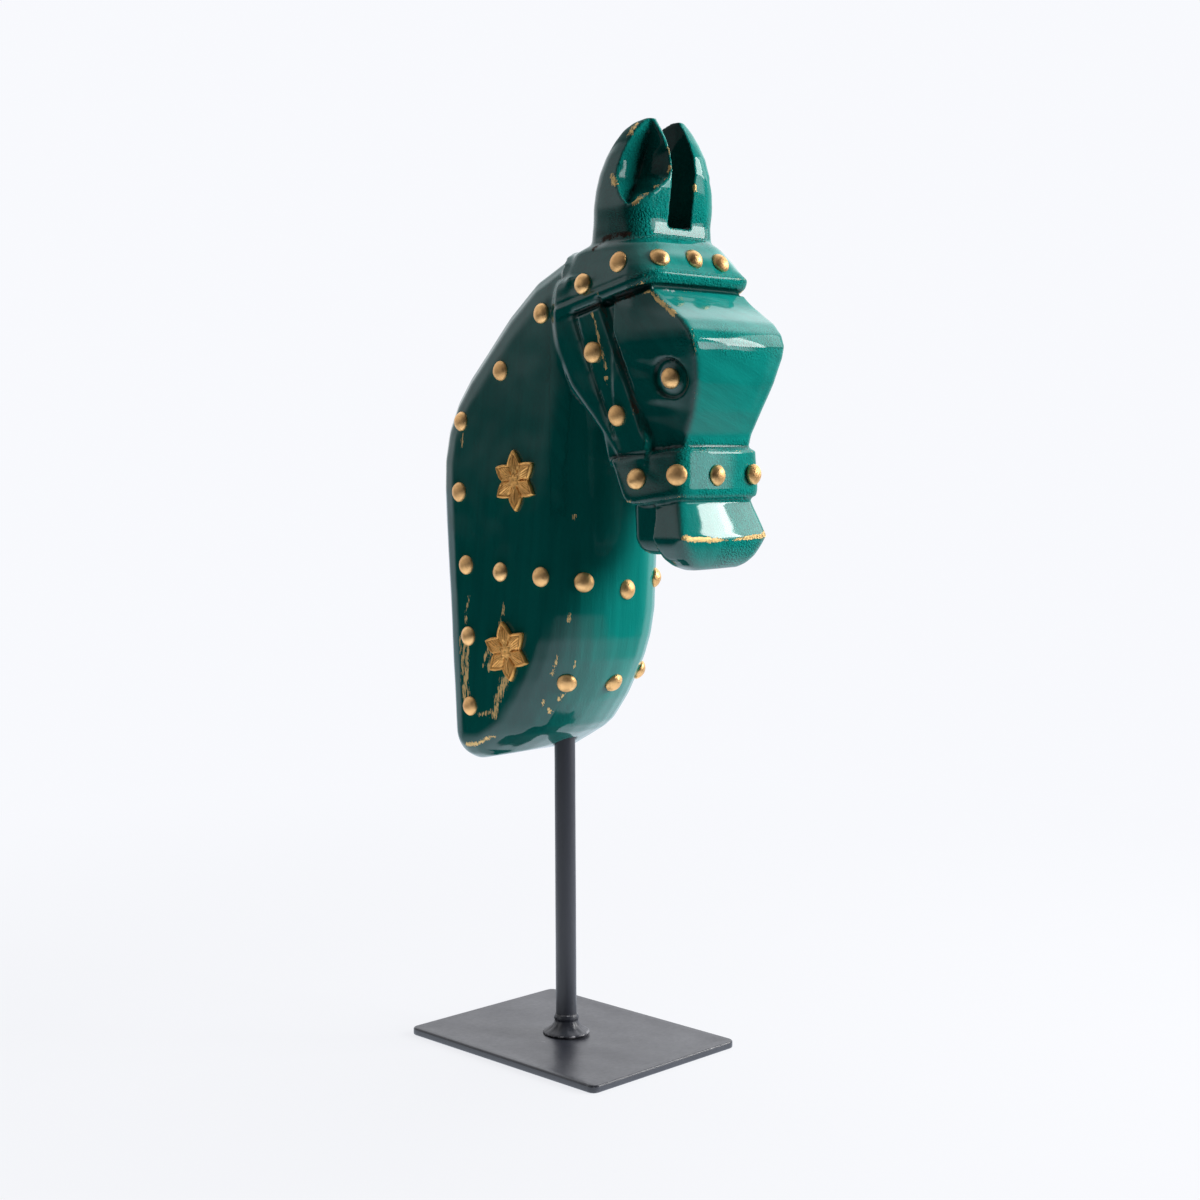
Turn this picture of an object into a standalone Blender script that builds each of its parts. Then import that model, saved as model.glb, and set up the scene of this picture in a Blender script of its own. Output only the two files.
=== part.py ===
"""Carved wooden horse head and neck with brass studs, on a steel rod and plate.

The sculpture faces -Y and stands on Z = 0. The stand's sizes are metres. The carving
is drawn in millimetres, at its real size, and scaled by its own height, so that its
proportions stay as they are when CARVING_HEIGHT changes.
"""
import math

import bmesh
import bpy
from mathutils import Matrix, Vector
from mathutils.bvhtree import BVHTree

# Sizes of the stand, in metres
PLATE_WIDTH = 0.0762
PLATE_DEPTH = 0.1016
PLATE_THICKNESS = 0.003
PLATE_CORNER = 0.002
PLATE_EDGE = 0.0006
ROD_RADIUS = 0.004
ROD_CLEAR_LENGTH = 0.1126
ROD_IN_WOOD = 0.026
ROD_BACK_OF_CENTRE = 0.0026
ROD_END_CHAMFER = 0.0005
WELD_FOOT_RADIUS = 0.0098
WELD_TOP_RADIUS = 0.0056
WELD_BEAD = 0.0008
WELD_HEIGHT = 0.0072

# Sizes of the carving and its brass, in metres
CARVING_HEIGHT = 0.2335
STUD_RADIUS = 0.00375
STUD_HEIGHT = 0.0021
EYE_GROOVE_RADIUS = STUD_RADIUS + 0.003
EYE_GROOVE_DEPTH = 0.0008
STAR_RADIUS = 0.0113
STAR_THICKNESS = 0.0012
STAR_BOSS_HEIGHT = 0.0012

# Room between pieces that touch, and room around the rod in its bore
CONTACT_GAP = 0.0003
BORE_CLEARANCE = 0.0004

# The carving as drawn, in millimetres above the floor
DRAWN_HEIGHT = 233.5
DRAWN_SEAT = 115.6
DRAWN_ROD_Y = 2.6
SCALE = CARVING_HEIGHT / DRAWN_HEIGHT
SEAT_HEIGHT = PLATE_THICKNESS + ROD_CLEAR_LENGTH

# The neck board's and the cheeks' thickness as drawn, and how they lean
BOARD_HALF_WIDTH = 27.2
BOARD_LEAN = 0.012
BOARD_LEAN_FROM = 180
CHEEK_LEAN = 0.055
CHEEK_LEAN_FROM = 285

ARC_STEP = math.radians(15)
ROUND_SIDES = 20
STUD_SIDES = 10


def placed(x, y, z):
    """A drawn point of the carving, in metres in the world."""
    return Vector((x * SCALE,
                   ROD_BACK_OF_CENTRE + (y - DRAWN_ROD_Y) * SCALE,
                   SEAT_HEIGHT + (z - DRAWN_SEAT) * SCALE))


def clear_scene():
    for item in list(bpy.data.objects):
        bpy.data.objects.remove(item, do_unlink=True)


def paint(name, colour, roughness, metallic):
    """A Principled material with one colour."""
    material = bpy.data.materials.new(name)
    material.use_nodes = True
    shader = material.node_tree.nodes["Principled BSDF"]
    shader.inputs["Base Color"].default_value = (*colour, 1.0)
    shader.inputs["Roughness"].default_value = roughness
    shader.inputs["Metallic"].default_value = metallic
    material.diffuse_color = (*colour, 1.0)
    return material


def add_object(name, bm, material=None):
    """Turn a bmesh into an object with its faces turned outward."""
    bmesh.ops.recalc_face_normals(bm, faces=bm.faces)
    mesh = bpy.data.meshes.new(name)
    bm.to_mesh(mesh)
    bm.free()
    if material is not None:
        mesh.materials.append(material)
    item = bpy.data.objects.new(name, mesh)
    bpy.context.scene.collection.objects.link(item)
    return item


def as_guide(item):
    """Mark a solid that only shapes the carving."""
    item.hide_render = True
    item.display_type = "WIRE"
    return item


def loft(name, rings, material=None):
    """A closed solid grown ring by ring; all rings have the same number of points."""
    bm = bmesh.new()
    verts = [bm.verts.new(point) for point in rings[0]]
    edges = [bm.edges.new(pair) for pair in zip(verts, verts[1:] + verts[:1])]
    bmesh.ops.contextual_create(bm, geom=edges)
    for ring in rings[1:]:
        grown = bmesh.ops.extrude_edge_only(bm, edges=edges)["geom"]
        fresh = {item for item in grown if isinstance(item, bmesh.types.BMVert)}
        verts = [next(edge.other_vert(vert) for edge in vert.link_edges
                      if edge.other_vert(vert) in fresh) for vert in verts]
        for vert, point in zip(verts, ring):
            vert.co = point
        edges = [bm.edges.get(pair) for pair in zip(verts, verts[1:] + verts[:1])]
    bmesh.ops.contextual_create(bm, geom=edges)
    return add_object(name, bm, material)


def rounded(corners, arc_steps=0):
    """Points along a closed outline whose corners are (a, b, fillet, extra values).

    Rings of one loft pass arc_steps, so that their arcs have the same number of points.
    """
    points = []
    count = len(corners)
    for index, (a, b, fillet, *extra) in enumerate(corners):
        here = Vector((a, b))
        before = (Vector(corners[index - 1][:2]) - here).normalized()
        after = (Vector(corners[(index + 1) % count][:2]) - here).normalized()
        turn = math.pi - before.angle(after)
        if fillet <= 0 or turn < 1e-4:
            points.append((a, b, *extra))
            continue
        reach = fillet * math.tan(turn / 2)
        centre = here + (before + after).normalized() * fillet / math.cos(turn / 2)
        start = here + before * reach - centre
        end = here + after * reach - centre
        steps = arc_steps or max(1, math.ceil(turn / ARC_STEP))
        for step in range(steps + 1):
            share = step / steps
            swing = (start * math.sin((1 - share) * turn) + end * math.sin(share * turn))
            spot = centre + swing / math.sin(turn)
            points.append((spot.x, spot.y, *extra))
    return points


def plank(name, corners, half_width, lean, lean_from):
    """A board in the YZ plane with its edges rounded over.

    Each corner is (y, z, fillet, edge radius); the board narrows by lean per millimetre
    above the height lean_from.
    """
    outline = rounded(corners)
    count = len(outline)
    normals = []
    for index in range(count):
        back = outline[index - 1]
        ahead = outline[(index + 1) % count]
        along = Vector((ahead[0] - back[0], ahead[1] - back[1])).normalized()
        normals.append(Vector((-along.y, along.x)))
    area = sum(a[0] * b[1] - b[0] * a[1] for a, b in zip(outline, outline[1:] + outline[:1]))
    inward = 1.0 if area > 0 else -1.0
    rings = []
    turns = [math.radians(angle) for angle in (90, 65, 40, 15)]
    for side, angle in [(-1, turn) for turn in turns] + [(1, turn) for turn in reversed(turns)]:
        ring = []
        for (y, z, edge), normal in zip(outline, normals):
            inset = normal * inward * edge * (1 - math.cos(angle))
            level = z + inset.y
            width = half_width - lean * (level - lean_from) - edge * (1 - math.sin(angle))
            ring.append(placed(side * width, y + inset.x, level))
        rings.append(ring)
    return as_guide(loft(name, rings))


def board_half_width(z):
    """Half the neck board's thickness, a little less towards the crest."""
    return BOARD_HALF_WIDTH - BOARD_LEAN * (z - BOARD_LEAN_FROM)


def neck():
    """The neck board: crest at the back, sloped underside, front left full."""
    corners = [
        (-34, 301.0, 12, 9), (-4.3, 291.6, 80, 12), (49.9, 237.7, 55, 12),
        (38.0, 106.6, 11.5, 9.5), (8, 113.6, 30, 8), (-10, 120.8, 12, 6),
        (-38, 142, 10, 2), (-42, 275, 10, 2),
    ]
    return plank("neck_form", corners, BOARD_HALF_WIDTH, BOARD_LEAN, BOARD_LEAN_FROM)


def chest():
    """The round plan of the chest and throat, which the neck board is trimmed to."""
    # height, front, fillet of the front corners
    levels = [
        (100.0, 22.0, 27), (113.0, 8.0, 27), (117.3, -0.2, 27), (121.3, -7.6, 27),
        (124.5, -11.8, 27), (128.7, -15.3, 27), (134.3, -19.8, 27), (142.4, -25.0, 27),
        (150.0, -28.2, 25.5), (158.0, -30.0, 23.5), (168.0, -31.0, 21.5), (187.0, -31.3, 20),
        (215.0, -32.0, 19), (275.0, -36.0, 14), (310.0, -37.0, 12),
    ]
    rings = [plan_ring(board_half_width(z) + 0.15, front, 70, fillet, 0,
                       lambda x, y, z=z: z, arc_steps=7)
             for z, front, fillet in levels]
    return as_guide(loft("chest_form", rings))


def jowls():
    """The back of the head, from the cheek strap to the jaw line."""
    corners = [
        (-31.0, 288, 0, 1), (-31.4, 274.5, 2, 0.6), (-53.6, 221.5, 0, 0.6), (-49.4, 221.5, 0, 1),
        (-49.4, 226.0, 2, 1.5), (-36.5, 238.2, 12, 4), (-25.6, 248.0, 12, 5),
        (-18.6, 262.5, 20, 5), (-17.4, 278.0, 20, 5), (-21.5, 289, 6, 5),
    ]
    return plank("jowl_form", corners, 28.1, -CHEEK_LEAN, CHEEK_LEAN_FROM)


def straps():
    """The cheek straps, a little lower than the jowls behind them."""
    corners = [
        (-46.5, 288, 0, 1), (-44.6, 278, 4, 1), (-64.0, 230.5, 4, 1), (-64.0, 221, 0, 1),
        (-45, 221, 0, 2), (-28, 288, 0, 2),
    ]
    return plank("strap_form", corners, 27.5, -CHEEK_LEAN, CHEEK_LEAN_FROM)


def plan_ring(half_width, front, back, front_fillet, back_fillet, level, taper=0.0,
              arc_steps=3):
    """A closed plan outline; level(x, y) gives the height of each of its points."""
    wide = half_width + taper
    corners = [(-half_width, front, front_fillet), (half_width, front, front_fillet),
               (wide, back, back_fillet), (-wide, back, back_fillet)]
    return [placed(x, y, level(x, y)) for x, y in rounded(corners, arc_steps)]


def crown():
    """The brow band and the poll, with the band's rolled lower lip."""
    slope = 0.2316
    # height at the front, half width, front, back, front and back fillet, share of slope
    levels = [
        (283.4, 26.6, -66.3, -19.0, 7.0, 6, 1.0), (284.6, 28.0, -68.2, -18.0, 7.5, 6, 1.0),
        (287.0, 28.4, -68.8, -18.0, 8.0, 6, 1.0), (289.2, 27.8, -67.2, -18.4, 9.0, 7, 0.9),
        (294.0, 26.6, -65.2, -20.0, 12.0, 9, 0.6), (298.6, 24.6, -62.0, -23.0, 13.0, 10, 0.3),
        (301.6, 22.4, -58.8, -27.0, 12.0, 10, 0.4), (302.8, 20.0, -56.0, -30.0, 11.0, 9, 0.35),
    ]
    rings = [
        plan_ring(wide, front, back, fillet, rear,
                  lambda x, y, z=z, share=share: z - slope * share * (y + 66), arc_steps=5)
        for z, wide, front, back, fillet, rear, share in levels
    ]
    return as_guide(loft("crown_form", rings))


def face():
    """The forehead and nose block, cut to flat planes that meet at the brow ridge."""
    # height, half width in front, front, half width at the back
    levels = [
        (288.0, 23.2, -61.0, 25.6), (283.0, 23.8, -66.2, 25.9), (278.0, 24.3, -72.2, 26.2),
        (271.0, 24.5, -82.4, 26.5), (267.0, 24.5, -85.9, 26.6), (263.0, 24.2, -87.5, 26.6),
        (259.0, 23.1, -87.3, 26.5), (250.0, 20.4, -85.2, 26.2), (240.0, 18.0, -81.0, 25.6),
        (232.0, 17.1, -77.0, 24.8), (228.0, 17.0, -76.2, 24.4), (221.0, 17.0, -76.0, 24.0),
    ]
    rings = [plan_ring(wide, front, -50, 1.6, 0, lambda x, y, z=z: z, rear - wide)
             for z, wide, front, rear in levels]
    return as_guide(loft("face_form", rings))


def noseband():
    """The strap around the nose, a little proud of it all round."""
    slope = 0.1
    # height in front, how far it stands proud, back
    levels = [(227.6, -1.6, -47.2), (226.4, 0.0, -46.4), (213.0, 0.6, -52.6),
              (210.6, 0.2, -54.4), (209.6, -1.6, -57.0)]
    rings = [plan_ring(20.2 + proud, -78.2 - proud, back, 4.5, 3,
                       lambda x, y, z=z: z - slope * (y + 78), 6.2)
             for z, proud, back in levels]
    return as_guide(loft("noseband_form", rings))


def muzzle():
    """The upper lip block, flared towards its shallow V edge and round below."""
    # height, half width, front, back, fillet, drop of the edge at the middle
    levels = [
        (214.0, 18.8, -75.2, -60, 2.5, 0.0), (209.5, 19.3, -76.2, -63, 2.5, 0.0),
        (203.3, 20.8, -78.6, -65, 2.0, 1.2), (196.4, 22.6, -81.2, -66, 1.6, 2.6),
        (193.2, 22.0, -80.6, -66.5, 4.0, 1.6), (189.4, 19.6, -79.2, -67.2, 4.5, 0.6),
        (186.8, 16.0, -77.4, -68.4, 3.6, 0.3), (185.2, 11.4, -75.4, -70.0, 2.0, 0.0),
    ]
    rings = [plan_ring(wide, front, back, fillet, fillet * 0.7,
                       lambda x, y, z=z, wide=wide, drop=drop: z - drop * (1 - abs(x) / wide))
             for z, wide, front, back, fillet, drop in levels]
    return as_guide(loft("muzzle_form", rings))


def chin():
    """The lower jaw behind the muzzle, set in on both sides."""
    levels = [(214.0, 18.4, -50.5), (206.0, 18.0, -50.5), (195.5, 17.8, -51.0),
              (192.0, 16.6, -52.5), (190.4, 14.4, -55.0)]
    rings = [plan_ring(wide, -72, back, 2, 3.5, lambda x, y, z=z: z)
             for z, wide, back in levels]
    return as_guide(loft("chin_form", rings))


def ears():
    """One pointed block for both ears, before the slot and the hollows are cut."""
    # height, half width, half depth, middle, fillet
    levels = [
        (298.0, 22.0, 14.0, -43.8, 9.0), (306.0, 22.0, 13.2, -44.0, 9.2),
        (312.0, 22.1, 13.4, -44.6, 9.2), (318.0, 20.9, 13.8, -45.0, 9.0),
        (324.0, 19.4, 14.0, -45.4, 9.4), (330.0, 17.8, 12.6, -45.9, 9.0),
        (335.0, 15.8, 10.2, -46.3, 7.8), (339.0, 13.6, 7.2, -46.9, 5.6),
        (341.5, 11.2, 4.4, -48.0, 3.4), (342.9, 8.8, 1.8, -49.8, 1.4),
    ]
    rings = [plan_ring(wide, mid - deep, mid + deep, fillet, fillet,
                       lambda x, y, z=z: z, arc_steps=6)
             for z, wide, deep, mid, fillet in levels]
    return as_guide(loft("ear_form", rings))


def box(name, low, high):
    """A guide box between two drawn points."""
    bm = bmesh.new()
    bmesh.ops.create_cube(bm, size=1)
    middle = (placed(*low) + placed(*high)) / 2
    size = placed(*high) - placed(*low)
    bmesh.ops.transform(bm, matrix=Matrix.Translation(middle) @ Matrix.Diagonal((*size, 1)),
                        verts=bm.verts)
    return as_guide(add_object(name, bm))


def ear_hollow(side, turn):
    """The V cut in the outer front corner of one ear, deepest along its crease.

    Across runs along the cut's opening and out points from the ear towards the opening.
    The cut is turned outward about the middle of the ear by an angle in radians.
    """
    diagonal = math.sqrt(0.5)
    out_end = 58.0
    middle = Vector((-13.0, -46.0))
    swing = Matrix.Rotation(-turn, 2)
    # height, crease across and out, left and right rim across, rim out
    levels = [
        (344.5, 31.0, 42.0, 30.0, 32.0, 43.0), (338.0, 30.0, 41.4, 24.4, 34.4, 45.0),
        (333.0, 28.6, 41.2, 20.9, 36.2, 46.0), (327.5, 27.0, 41.2, 19.0, 36.8, 46.0),
        (322.0, 25.4, 42.6, 18.2, 34.6, 46.0), (318.0, 24.0, 46.0, 18.8, 30.8, 49.0),
        (314.5, 22.9, 50.0, 20.4, 26.0, 51.0), (312.6, 22.8, 53.0, 22.0, 23.6, 54.0),
    ]
    rings = []
    for z, across, out, left, right, rim in levels:
        stretch = (out_end - out) / (rim - out)
        corners = [(across, out)]
        corners += [(across + (edge - across) * stretch, out_end) for edge in (left, right)]
        ring = []
        for a, b in corners:
            spot = swing @ (Vector(((a - b) * diagonal, (-a - b) * diagonal)) - middle) + middle
            ring.append(placed(-side * spot.x, spot.y, z))
        rings.append(ring)
    return as_guide(loft(f"ear_hollow_{'left' if side > 0 else 'right'}", rings))


def groove(name, side, start, end, width, depth, surface):
    """A V cut along a line on one side; start and end are (y, z)."""
    first = Vector(start)
    last = Vector(end)
    across = Vector((-(last - first).y, (last - first).x)).normalized() * width / 2
    outside = 34.0
    rings = []
    for spot, bottom in ((first, surface[0] - depth), (last, surface[1] - depth)):
        spread = (outside - bottom) / depth
        rings.append([placed(side * bottom, spot.x, spot.y),
                      placed(side * outside, *(spot + across * spread)),
                      placed(side * outside, *(spot - across * spread))])
    return as_guide(loft(name, rings))


def eye_ring(side, seat):
    """The round groove of one eye socket, around a seat on the face."""
    bm = bmesh.new()
    bmesh.ops.create_circle(bm, segments=6, radius=EYE_GROOVE_DEPTH,
                            matrix=Matrix.Translation((EYE_GROOVE_RADIUS, 0, 0))
                            @ Matrix.Rotation(math.radians(90), 4, "X"))
    bmesh.ops.spin(bm, geom=bm.verts[:] + bm.edges[:], cent=(0, 0, 0), axis=(0, 0, 1),
                   angle=math.tau, steps=24, use_merge=True)
    bmesh.ops.transform(bm, matrix=seat, verts=bm.verts)
    return as_guide(add_object(f"eye_ring_{'left' if side > 0 else 'right'}", bm))


def cylinder(name, radius, low, high, material=None, chamfer=0.0):
    """An upright cylinder on the rod's axis between two heights."""
    bm = bmesh.new()
    matrix = Matrix.Translation((0, ROD_BACK_OF_CENTRE, (low + high) / 2))
    bmesh.ops.create_cone(bm, cap_ends=True, segments=ROUND_SIDES, radius1=radius,
                          radius2=radius, depth=high - low, matrix=matrix)
    if chamfer > 0:
        rims = [edge for edge in bm.edges if abs(edge.verts[0].co.z - edge.verts[1].co.z) < 1e-7]
        bmesh.ops.bevel(bm, geom=rims, offset=chamfer, segments=1, profile=0.5,
                        affect="EDGES", material=-1)
    for polygon in bm.faces:
        polygon.smooth = len(polygon.verts) == 4
    return add_object(name, bm, material)


def cut(body, guide, operation):
    """Join a guide solid to the body, or cut it away."""
    modifier = body.modifiers.new(guide.name, "BOOLEAN")
    modifier.operation = operation
    modifier.object = guide
    modifier.solver = "EXACT"


def horse_head():
    """The whole carving as one solid of wood."""
    wood = paint("painted_wood", (0.0, 0.17, 0.13), 0.3, 0.0)
    body = neck()
    body.name = "horse_head"
    body.data.materials.append(wood)
    body.hide_render = False
    body.display_type = "TEXTURED"
    cut(body, chest(), "INTERSECT")
    for form in (jowls(), straps(), crown(), face(), noseband(), muzzle(), chin(), ears()):
        cut(body, form, "UNION")
    cuts = [box("ear_slot", (-5.75, -80, 304.6), (5.75, 0, 360)),
            ear_hollow(-1, 0.0), ear_hollow(1, math.radians(35))]
    for side, hand in ((-1, "right"), (1, "left")):
        cuts.append(groove(f"strap_front_{hand}", side, (-44.9, 277.5), (-62.6, 234.0),
                           1.8, 1.4, (26.4, 24.6)))
        cuts.append(groove(f"strap_back_{hand}", side, (-31.6, 273.5), (-49.4, 231.0),
                           1.0, 0.6, (26.9, 24.6)))
    bore_radius = ROD_RADIUS + BORE_CLEARANCE
    bore_top = SEAT_HEIGHT + ROD_IN_WOOD + CONTACT_GAP
    cuts.append(as_guide(cylinder("rod_bore", bore_radius, PLATE_THICKNESS, bore_top)))
    for tool in cuts:
        cut(body, tool, "DIFFERENCE")
    face_seats = Seats(body)
    for side in (-1, 1):
        seat = face_seats.matrix((0, -74.2, 251.3), (-side, 0, 0), reach=STUD_RADIUS)
        cut(body, eye_ring(side, seat), "DIFFERENCE")
    return body


class Seats:
    """Finds places for trim on the finished carving."""

    def __init__(self, body):
        bpy.context.view_layer.update()
        self.tree = BVHTree.FromObject(body, bpy.context.evaluated_depsgraph_get())

    def matrix(self, aim, heading, spin=0.0, reach=0.0):
        """A seat on the surface where a ray from outside along heading meets the carving.

        Args:
            aim: drawn point (x, y, z) that the ray passes through.
            heading: direction of the ray, towards the wood.
            spin: turn of the trim about its own axis, in radians.
            reach: radius around the ray whose surface is averaged, in metres.
        """
        heading = Vector(heading).normalized()
        start = placed(*aim) - heading * 0.2
        side = heading.orthogonal().normalized()
        spots = []
        for turn in range(8):
            offset = Matrix.Rotation(turn * math.tau / 8, 3, heading) @ side * reach
            spots.append(self.tree.ray_cast(start + offset, heading))
        normal = sum((spot[1] for spot in spots), Vector()).normalized()
        centre = self.tree.ray_cast(start, heading)[0]
        height = max((spot[0] - centre).dot(normal) for spot in spots)
        centre = centre + normal * (max(height, 0.0) + CONTACT_GAP)
        up = Vector((0, 0, 1))
        across = up.cross(normal).normalized()
        frame = Matrix((across, normal.cross(across), normal)).transposed().to_4x4()
        return Matrix.Translation(centre) @ frame @ Matrix.Rotation(spin, 4, "Z")


def stud_mesh(brass):
    """A domed nail head: a flat back and a round cap, spun from its profile."""
    bm = bmesh.new()
    rings = 4
    sphere = (STUD_RADIUS ** 2 + STUD_HEIGHT ** 2) / (2 * STUD_HEIGHT)
    sweep = math.asin(STUD_RADIUS / sphere)
    verts = [bm.verts.new((0, 0, 0))]
    for step in range(rings + 1):
        angle = sweep * (1 - step / rings)
        verts.append(bm.verts.new((sphere * math.sin(angle), 0,
                                   STUD_HEIGHT - sphere * (1 - math.cos(angle)))))
    edges = [bm.edges.new(pair) for pair in zip(verts, verts[1:])]
    bmesh.ops.spin(bm, geom=verts + edges, cent=(0, 0, 0), axis=(0, 0, 1),
                   angle=math.tau, steps=STUD_SIDES, use_merge=True)
    bmesh.ops.remove_doubles(bm, verts=bm.verts, dist=1e-6)
    bmesh.ops.recalc_face_normals(bm, faces=bm.faces)
    for polygon in bm.faces:
        polygon.smooth = polygon.calc_center_median().z > 1e-6
    mesh = bpy.data.meshes.new("brass_stud")
    bm.to_mesh(mesh)
    bm.free()
    mesh.materials.append(brass)
    return mesh


def star_mesh(brass):
    """A flat flower with six pointed petals, a rim line and a round boss."""
    petals = 6
    valley = 0.6 * STAR_RADIUS
    boss_ring = 0.3 * STAR_RADIUS
    bm = bmesh.new()
    made = bmesh.ops.create_circle(bm, cap_ends=True, segments=petals * 4, radius=STAR_RADIUS)
    share = (1.0, 0.86, valley / STAR_RADIUS, 0.86)
    for vert in made["verts"]:
        turn = round(math.atan2(vert.co.y, vert.co.x) / (math.tau / (petals * 4))) % 4
        vert.co *= share[turn]
    top = bmesh.ops.extrude_face_region(bm, geom=bm.faces[:])
    raised = [item for item in top["geom"] if isinstance(item, bmesh.types.BMVert)]
    bmesh.ops.translate(bm, verts=raised, vec=(0, 0, STAR_THICKNESS))
    upper = [polygon for polygon in bm.faces
             if all(vert.co.z > STAR_THICKNESS / 2 for vert in polygon.verts)]
    bmesh.ops.inset_region(bm, faces=upper, thickness=0.0007, depth=0.0)
    bmesh.ops.inset_region(bm, faces=upper, thickness=0.0005, depth=-0.0004)
    bmesh.ops.poke(bm, faces=upper)
    middle = max((vert for vert in bm.verts), key=lambda vert: -vert.co.xy.length - abs(
        vert.co.z - STAR_THICKNESS))
    middle.co.z = STAR_THICKNESS + STAR_BOSS_HEIGHT * 0.2
    bmesh.ops.recalc_face_normals(bm, faces=bm.faces)
    mesh = bpy.data.meshes.new("brass_star")
    bm.to_mesh(mesh)
    bm.free()
    mesh.materials.append(brass)
    return mesh


def add_trim(name, mesh, matrix):
    item = bpy.data.objects.new(name, mesh)
    item.matrix_world = matrix
    bpy.context.scene.collection.objects.link(item)
    return item


def studs(seats):
    """The brass nails, in rows that follow the crest, the chest and the bridle."""
    mesh = stud_mesh(paint("brass_nails", (0.6, 0.36, 0.15), 0.38, 1.0))
    # On each side, driven in square to it: name, y and z
    side_spots = [
        ("crest_1", -13.4, 276.0), ("crest_2", 8.6, 256.2), ("crest_3", 30.8, 238.0),
        ("crest_4", 31.8, 211.4), ("crest_5", 27.8, 183.9), ("crest_6", 26.6, 157.0),
        ("crest_7", 25.5, 130.4), ("ring_1", 8.5, 182.0), ("ring_2", -13.2, 181.1),
        ("brow_1", -36.6, 284.9), ("brow_2", -53.0, 291.5), ("cheek_1", -40.4, 261.3),
        ("cheek_2", -50.6, 238.8), ("noseband_1", -59.2, 217.0), ("eye", -73.5, 251.2),
    ]
    # Around the front: name, x, y, z and the heading's turn from straight ahead
    front_spots = [
        ("ring_3_right", -18.4, -27.4, 179.5, 38), ("ring_3_left", 18.4, -27.4, 179.5, -38),
        ("ring_middle", 0.0, -31.1, 176.1, 0), ("chest_middle", 0.0, -24.6, 141.0, 0),
        ("chest_1_right", -18.4, -18.0, 141.6, 42), ("chest_1_left", 19.0, -18.0, 144.0, -42),
        ("brow_3_right", -18.6, -64.4, 292.8, 14), ("brow_middle", -1.4, -65.4, 293.4, 0),
        ("brow_3_left", 12.0, -65.4, 292.8, -4), ("noseband_2_right", -21.0, -75.4, 218.6, 62),
        ("noseband_middle", -3.8, -78.6, 218.2, 0), ("noseband_2_left", 15.4, -78.5, 218.4, 0),
    ]
    for side, hand in ((-1, "right"), (1, "left")):
        for name, y, z in side_spots:
            matrix = seats.matrix((0, y, z), (-side, 0, 0), reach=STUD_RADIUS)
            add_trim(f"stud_{name}_{hand}", mesh, matrix)
    for name, x, y, z, turn in front_spots:
        angle = math.radians(turn)
        matrix = seats.matrix((x, y, z), (math.sin(angle), math.cos(angle), 0),
                              reach=STUD_RADIUS)
        add_trim(f"stud_{name}", mesh, matrix)


def stars(seats):
    """Two flower stars on each side of the neck."""
    mesh = star_mesh(paint("brass_stars", (0.45, 0.26, 0.1), 0.42, 1.0))
    for side, hand in ((-1, "right"), (1, "left")):
        for name, y, z, lean in (("upper", -0.2, 215.9, 94), ("lower", 2.7, 152.2, 101)):
            matrix = seats.matrix((0, y, z), (-side, 0, 0), math.radians(lean), STAR_RADIUS)
            add_trim(f"star_{name}_{hand}", mesh, matrix)


def stand():
    """The plate, the rod and the weld around the rod's foot."""
    black = paint("black_steel", (0.03, 0.03, 0.035), 0.45, 0.6)
    bm = bmesh.new()
    size = Matrix.Diagonal((PLATE_WIDTH, PLATE_DEPTH, PLATE_THICKNESS, 1))
    bmesh.ops.create_cube(bm, size=1,
                          matrix=Matrix.Translation((0, 0, PLATE_THICKNESS / 2)) @ size)
    upright = [edge for edge in bm.edges if abs(edge.verts[0].co.z - edge.verts[1].co.z) > 1e-4]
    bmesh.ops.bevel(bm, geom=upright, offset=PLATE_CORNER, segments=4, profile=0.5,
                    affect="EDGES", material=-1)
    rims = [edge for edge in bm.edges if abs(edge.verts[0].co.z - edge.verts[1].co.z) < 1e-6]
    bmesh.ops.bevel(bm, geom=rims, offset=PLATE_EDGE, segments=2, profile=0.5,
                    affect="EDGES", material=-1)
    add_object("base_plate", bm, black)

    rod_foot = PLATE_THICKNESS + CONTACT_GAP
    cylinder("stand_rod", ROD_RADIUS, rod_foot, SEAT_HEIGHT + ROD_IN_WOOD, black,
             ROD_END_CHAMFER)

    inner = ROD_RADIUS + CONTACT_GAP
    foot = PLATE_THICKNESS + CONTACT_GAP
    top = foot + WELD_HEIGHT
    neck_height = foot + 0.3 * WELD_HEIGHT
    profile = [
        (inner, foot), (WELD_FOOT_RADIUS, foot), (WELD_FOOT_RADIUS * 0.97, foot + WELD_BEAD),
        (WELD_FOOT_RADIUS * 0.76, neck_height), (WELD_TOP_RADIUS, foot + 0.5 * WELD_HEIGHT),
        (WELD_TOP_RADIUS + WELD_BEAD, foot + 0.68 * WELD_HEIGHT),
        (WELD_TOP_RADIUS + WELD_BEAD * 0.6, top - WELD_BEAD),
        (inner + 0.4 * WELD_BEAD, top), (inner, top),
    ]
    bm = bmesh.new()
    verts = [bm.verts.new((radius, 0, height)) for radius, height in profile]
    edges = [bm.edges.new(pair) for pair in zip(verts, verts[1:] + verts[:1])]
    bmesh.ops.spin(bm, geom=verts + edges, cent=(0, 0, 0), axis=(0, 0, 1),
                   angle=math.tau, steps=ROUND_SIDES, use_merge=True)
    bmesh.ops.translate(bm, verts=bm.verts, vec=(0, ROD_BACK_OF_CENTRE, 0))
    for polygon in bm.faces:
        polygon.smooth = True
    add_object("foot_weld", bm, black)


def main():
    clear_scene()
    body = horse_head()
    seats = Seats(body)
    studs(seats)
    stars(seats)
    stand()


main()
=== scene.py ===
"""Looks of the carved horse head: lacquered wood, brass nails and stars, a black steel stand.

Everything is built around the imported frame, which is loaded first. The horse faces -Y and
Z is up. Meshes are in metres; carving and wear are drawn in millimetres, because that is
how a carver would lay them out.
"""
from __future__ import annotations

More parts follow.
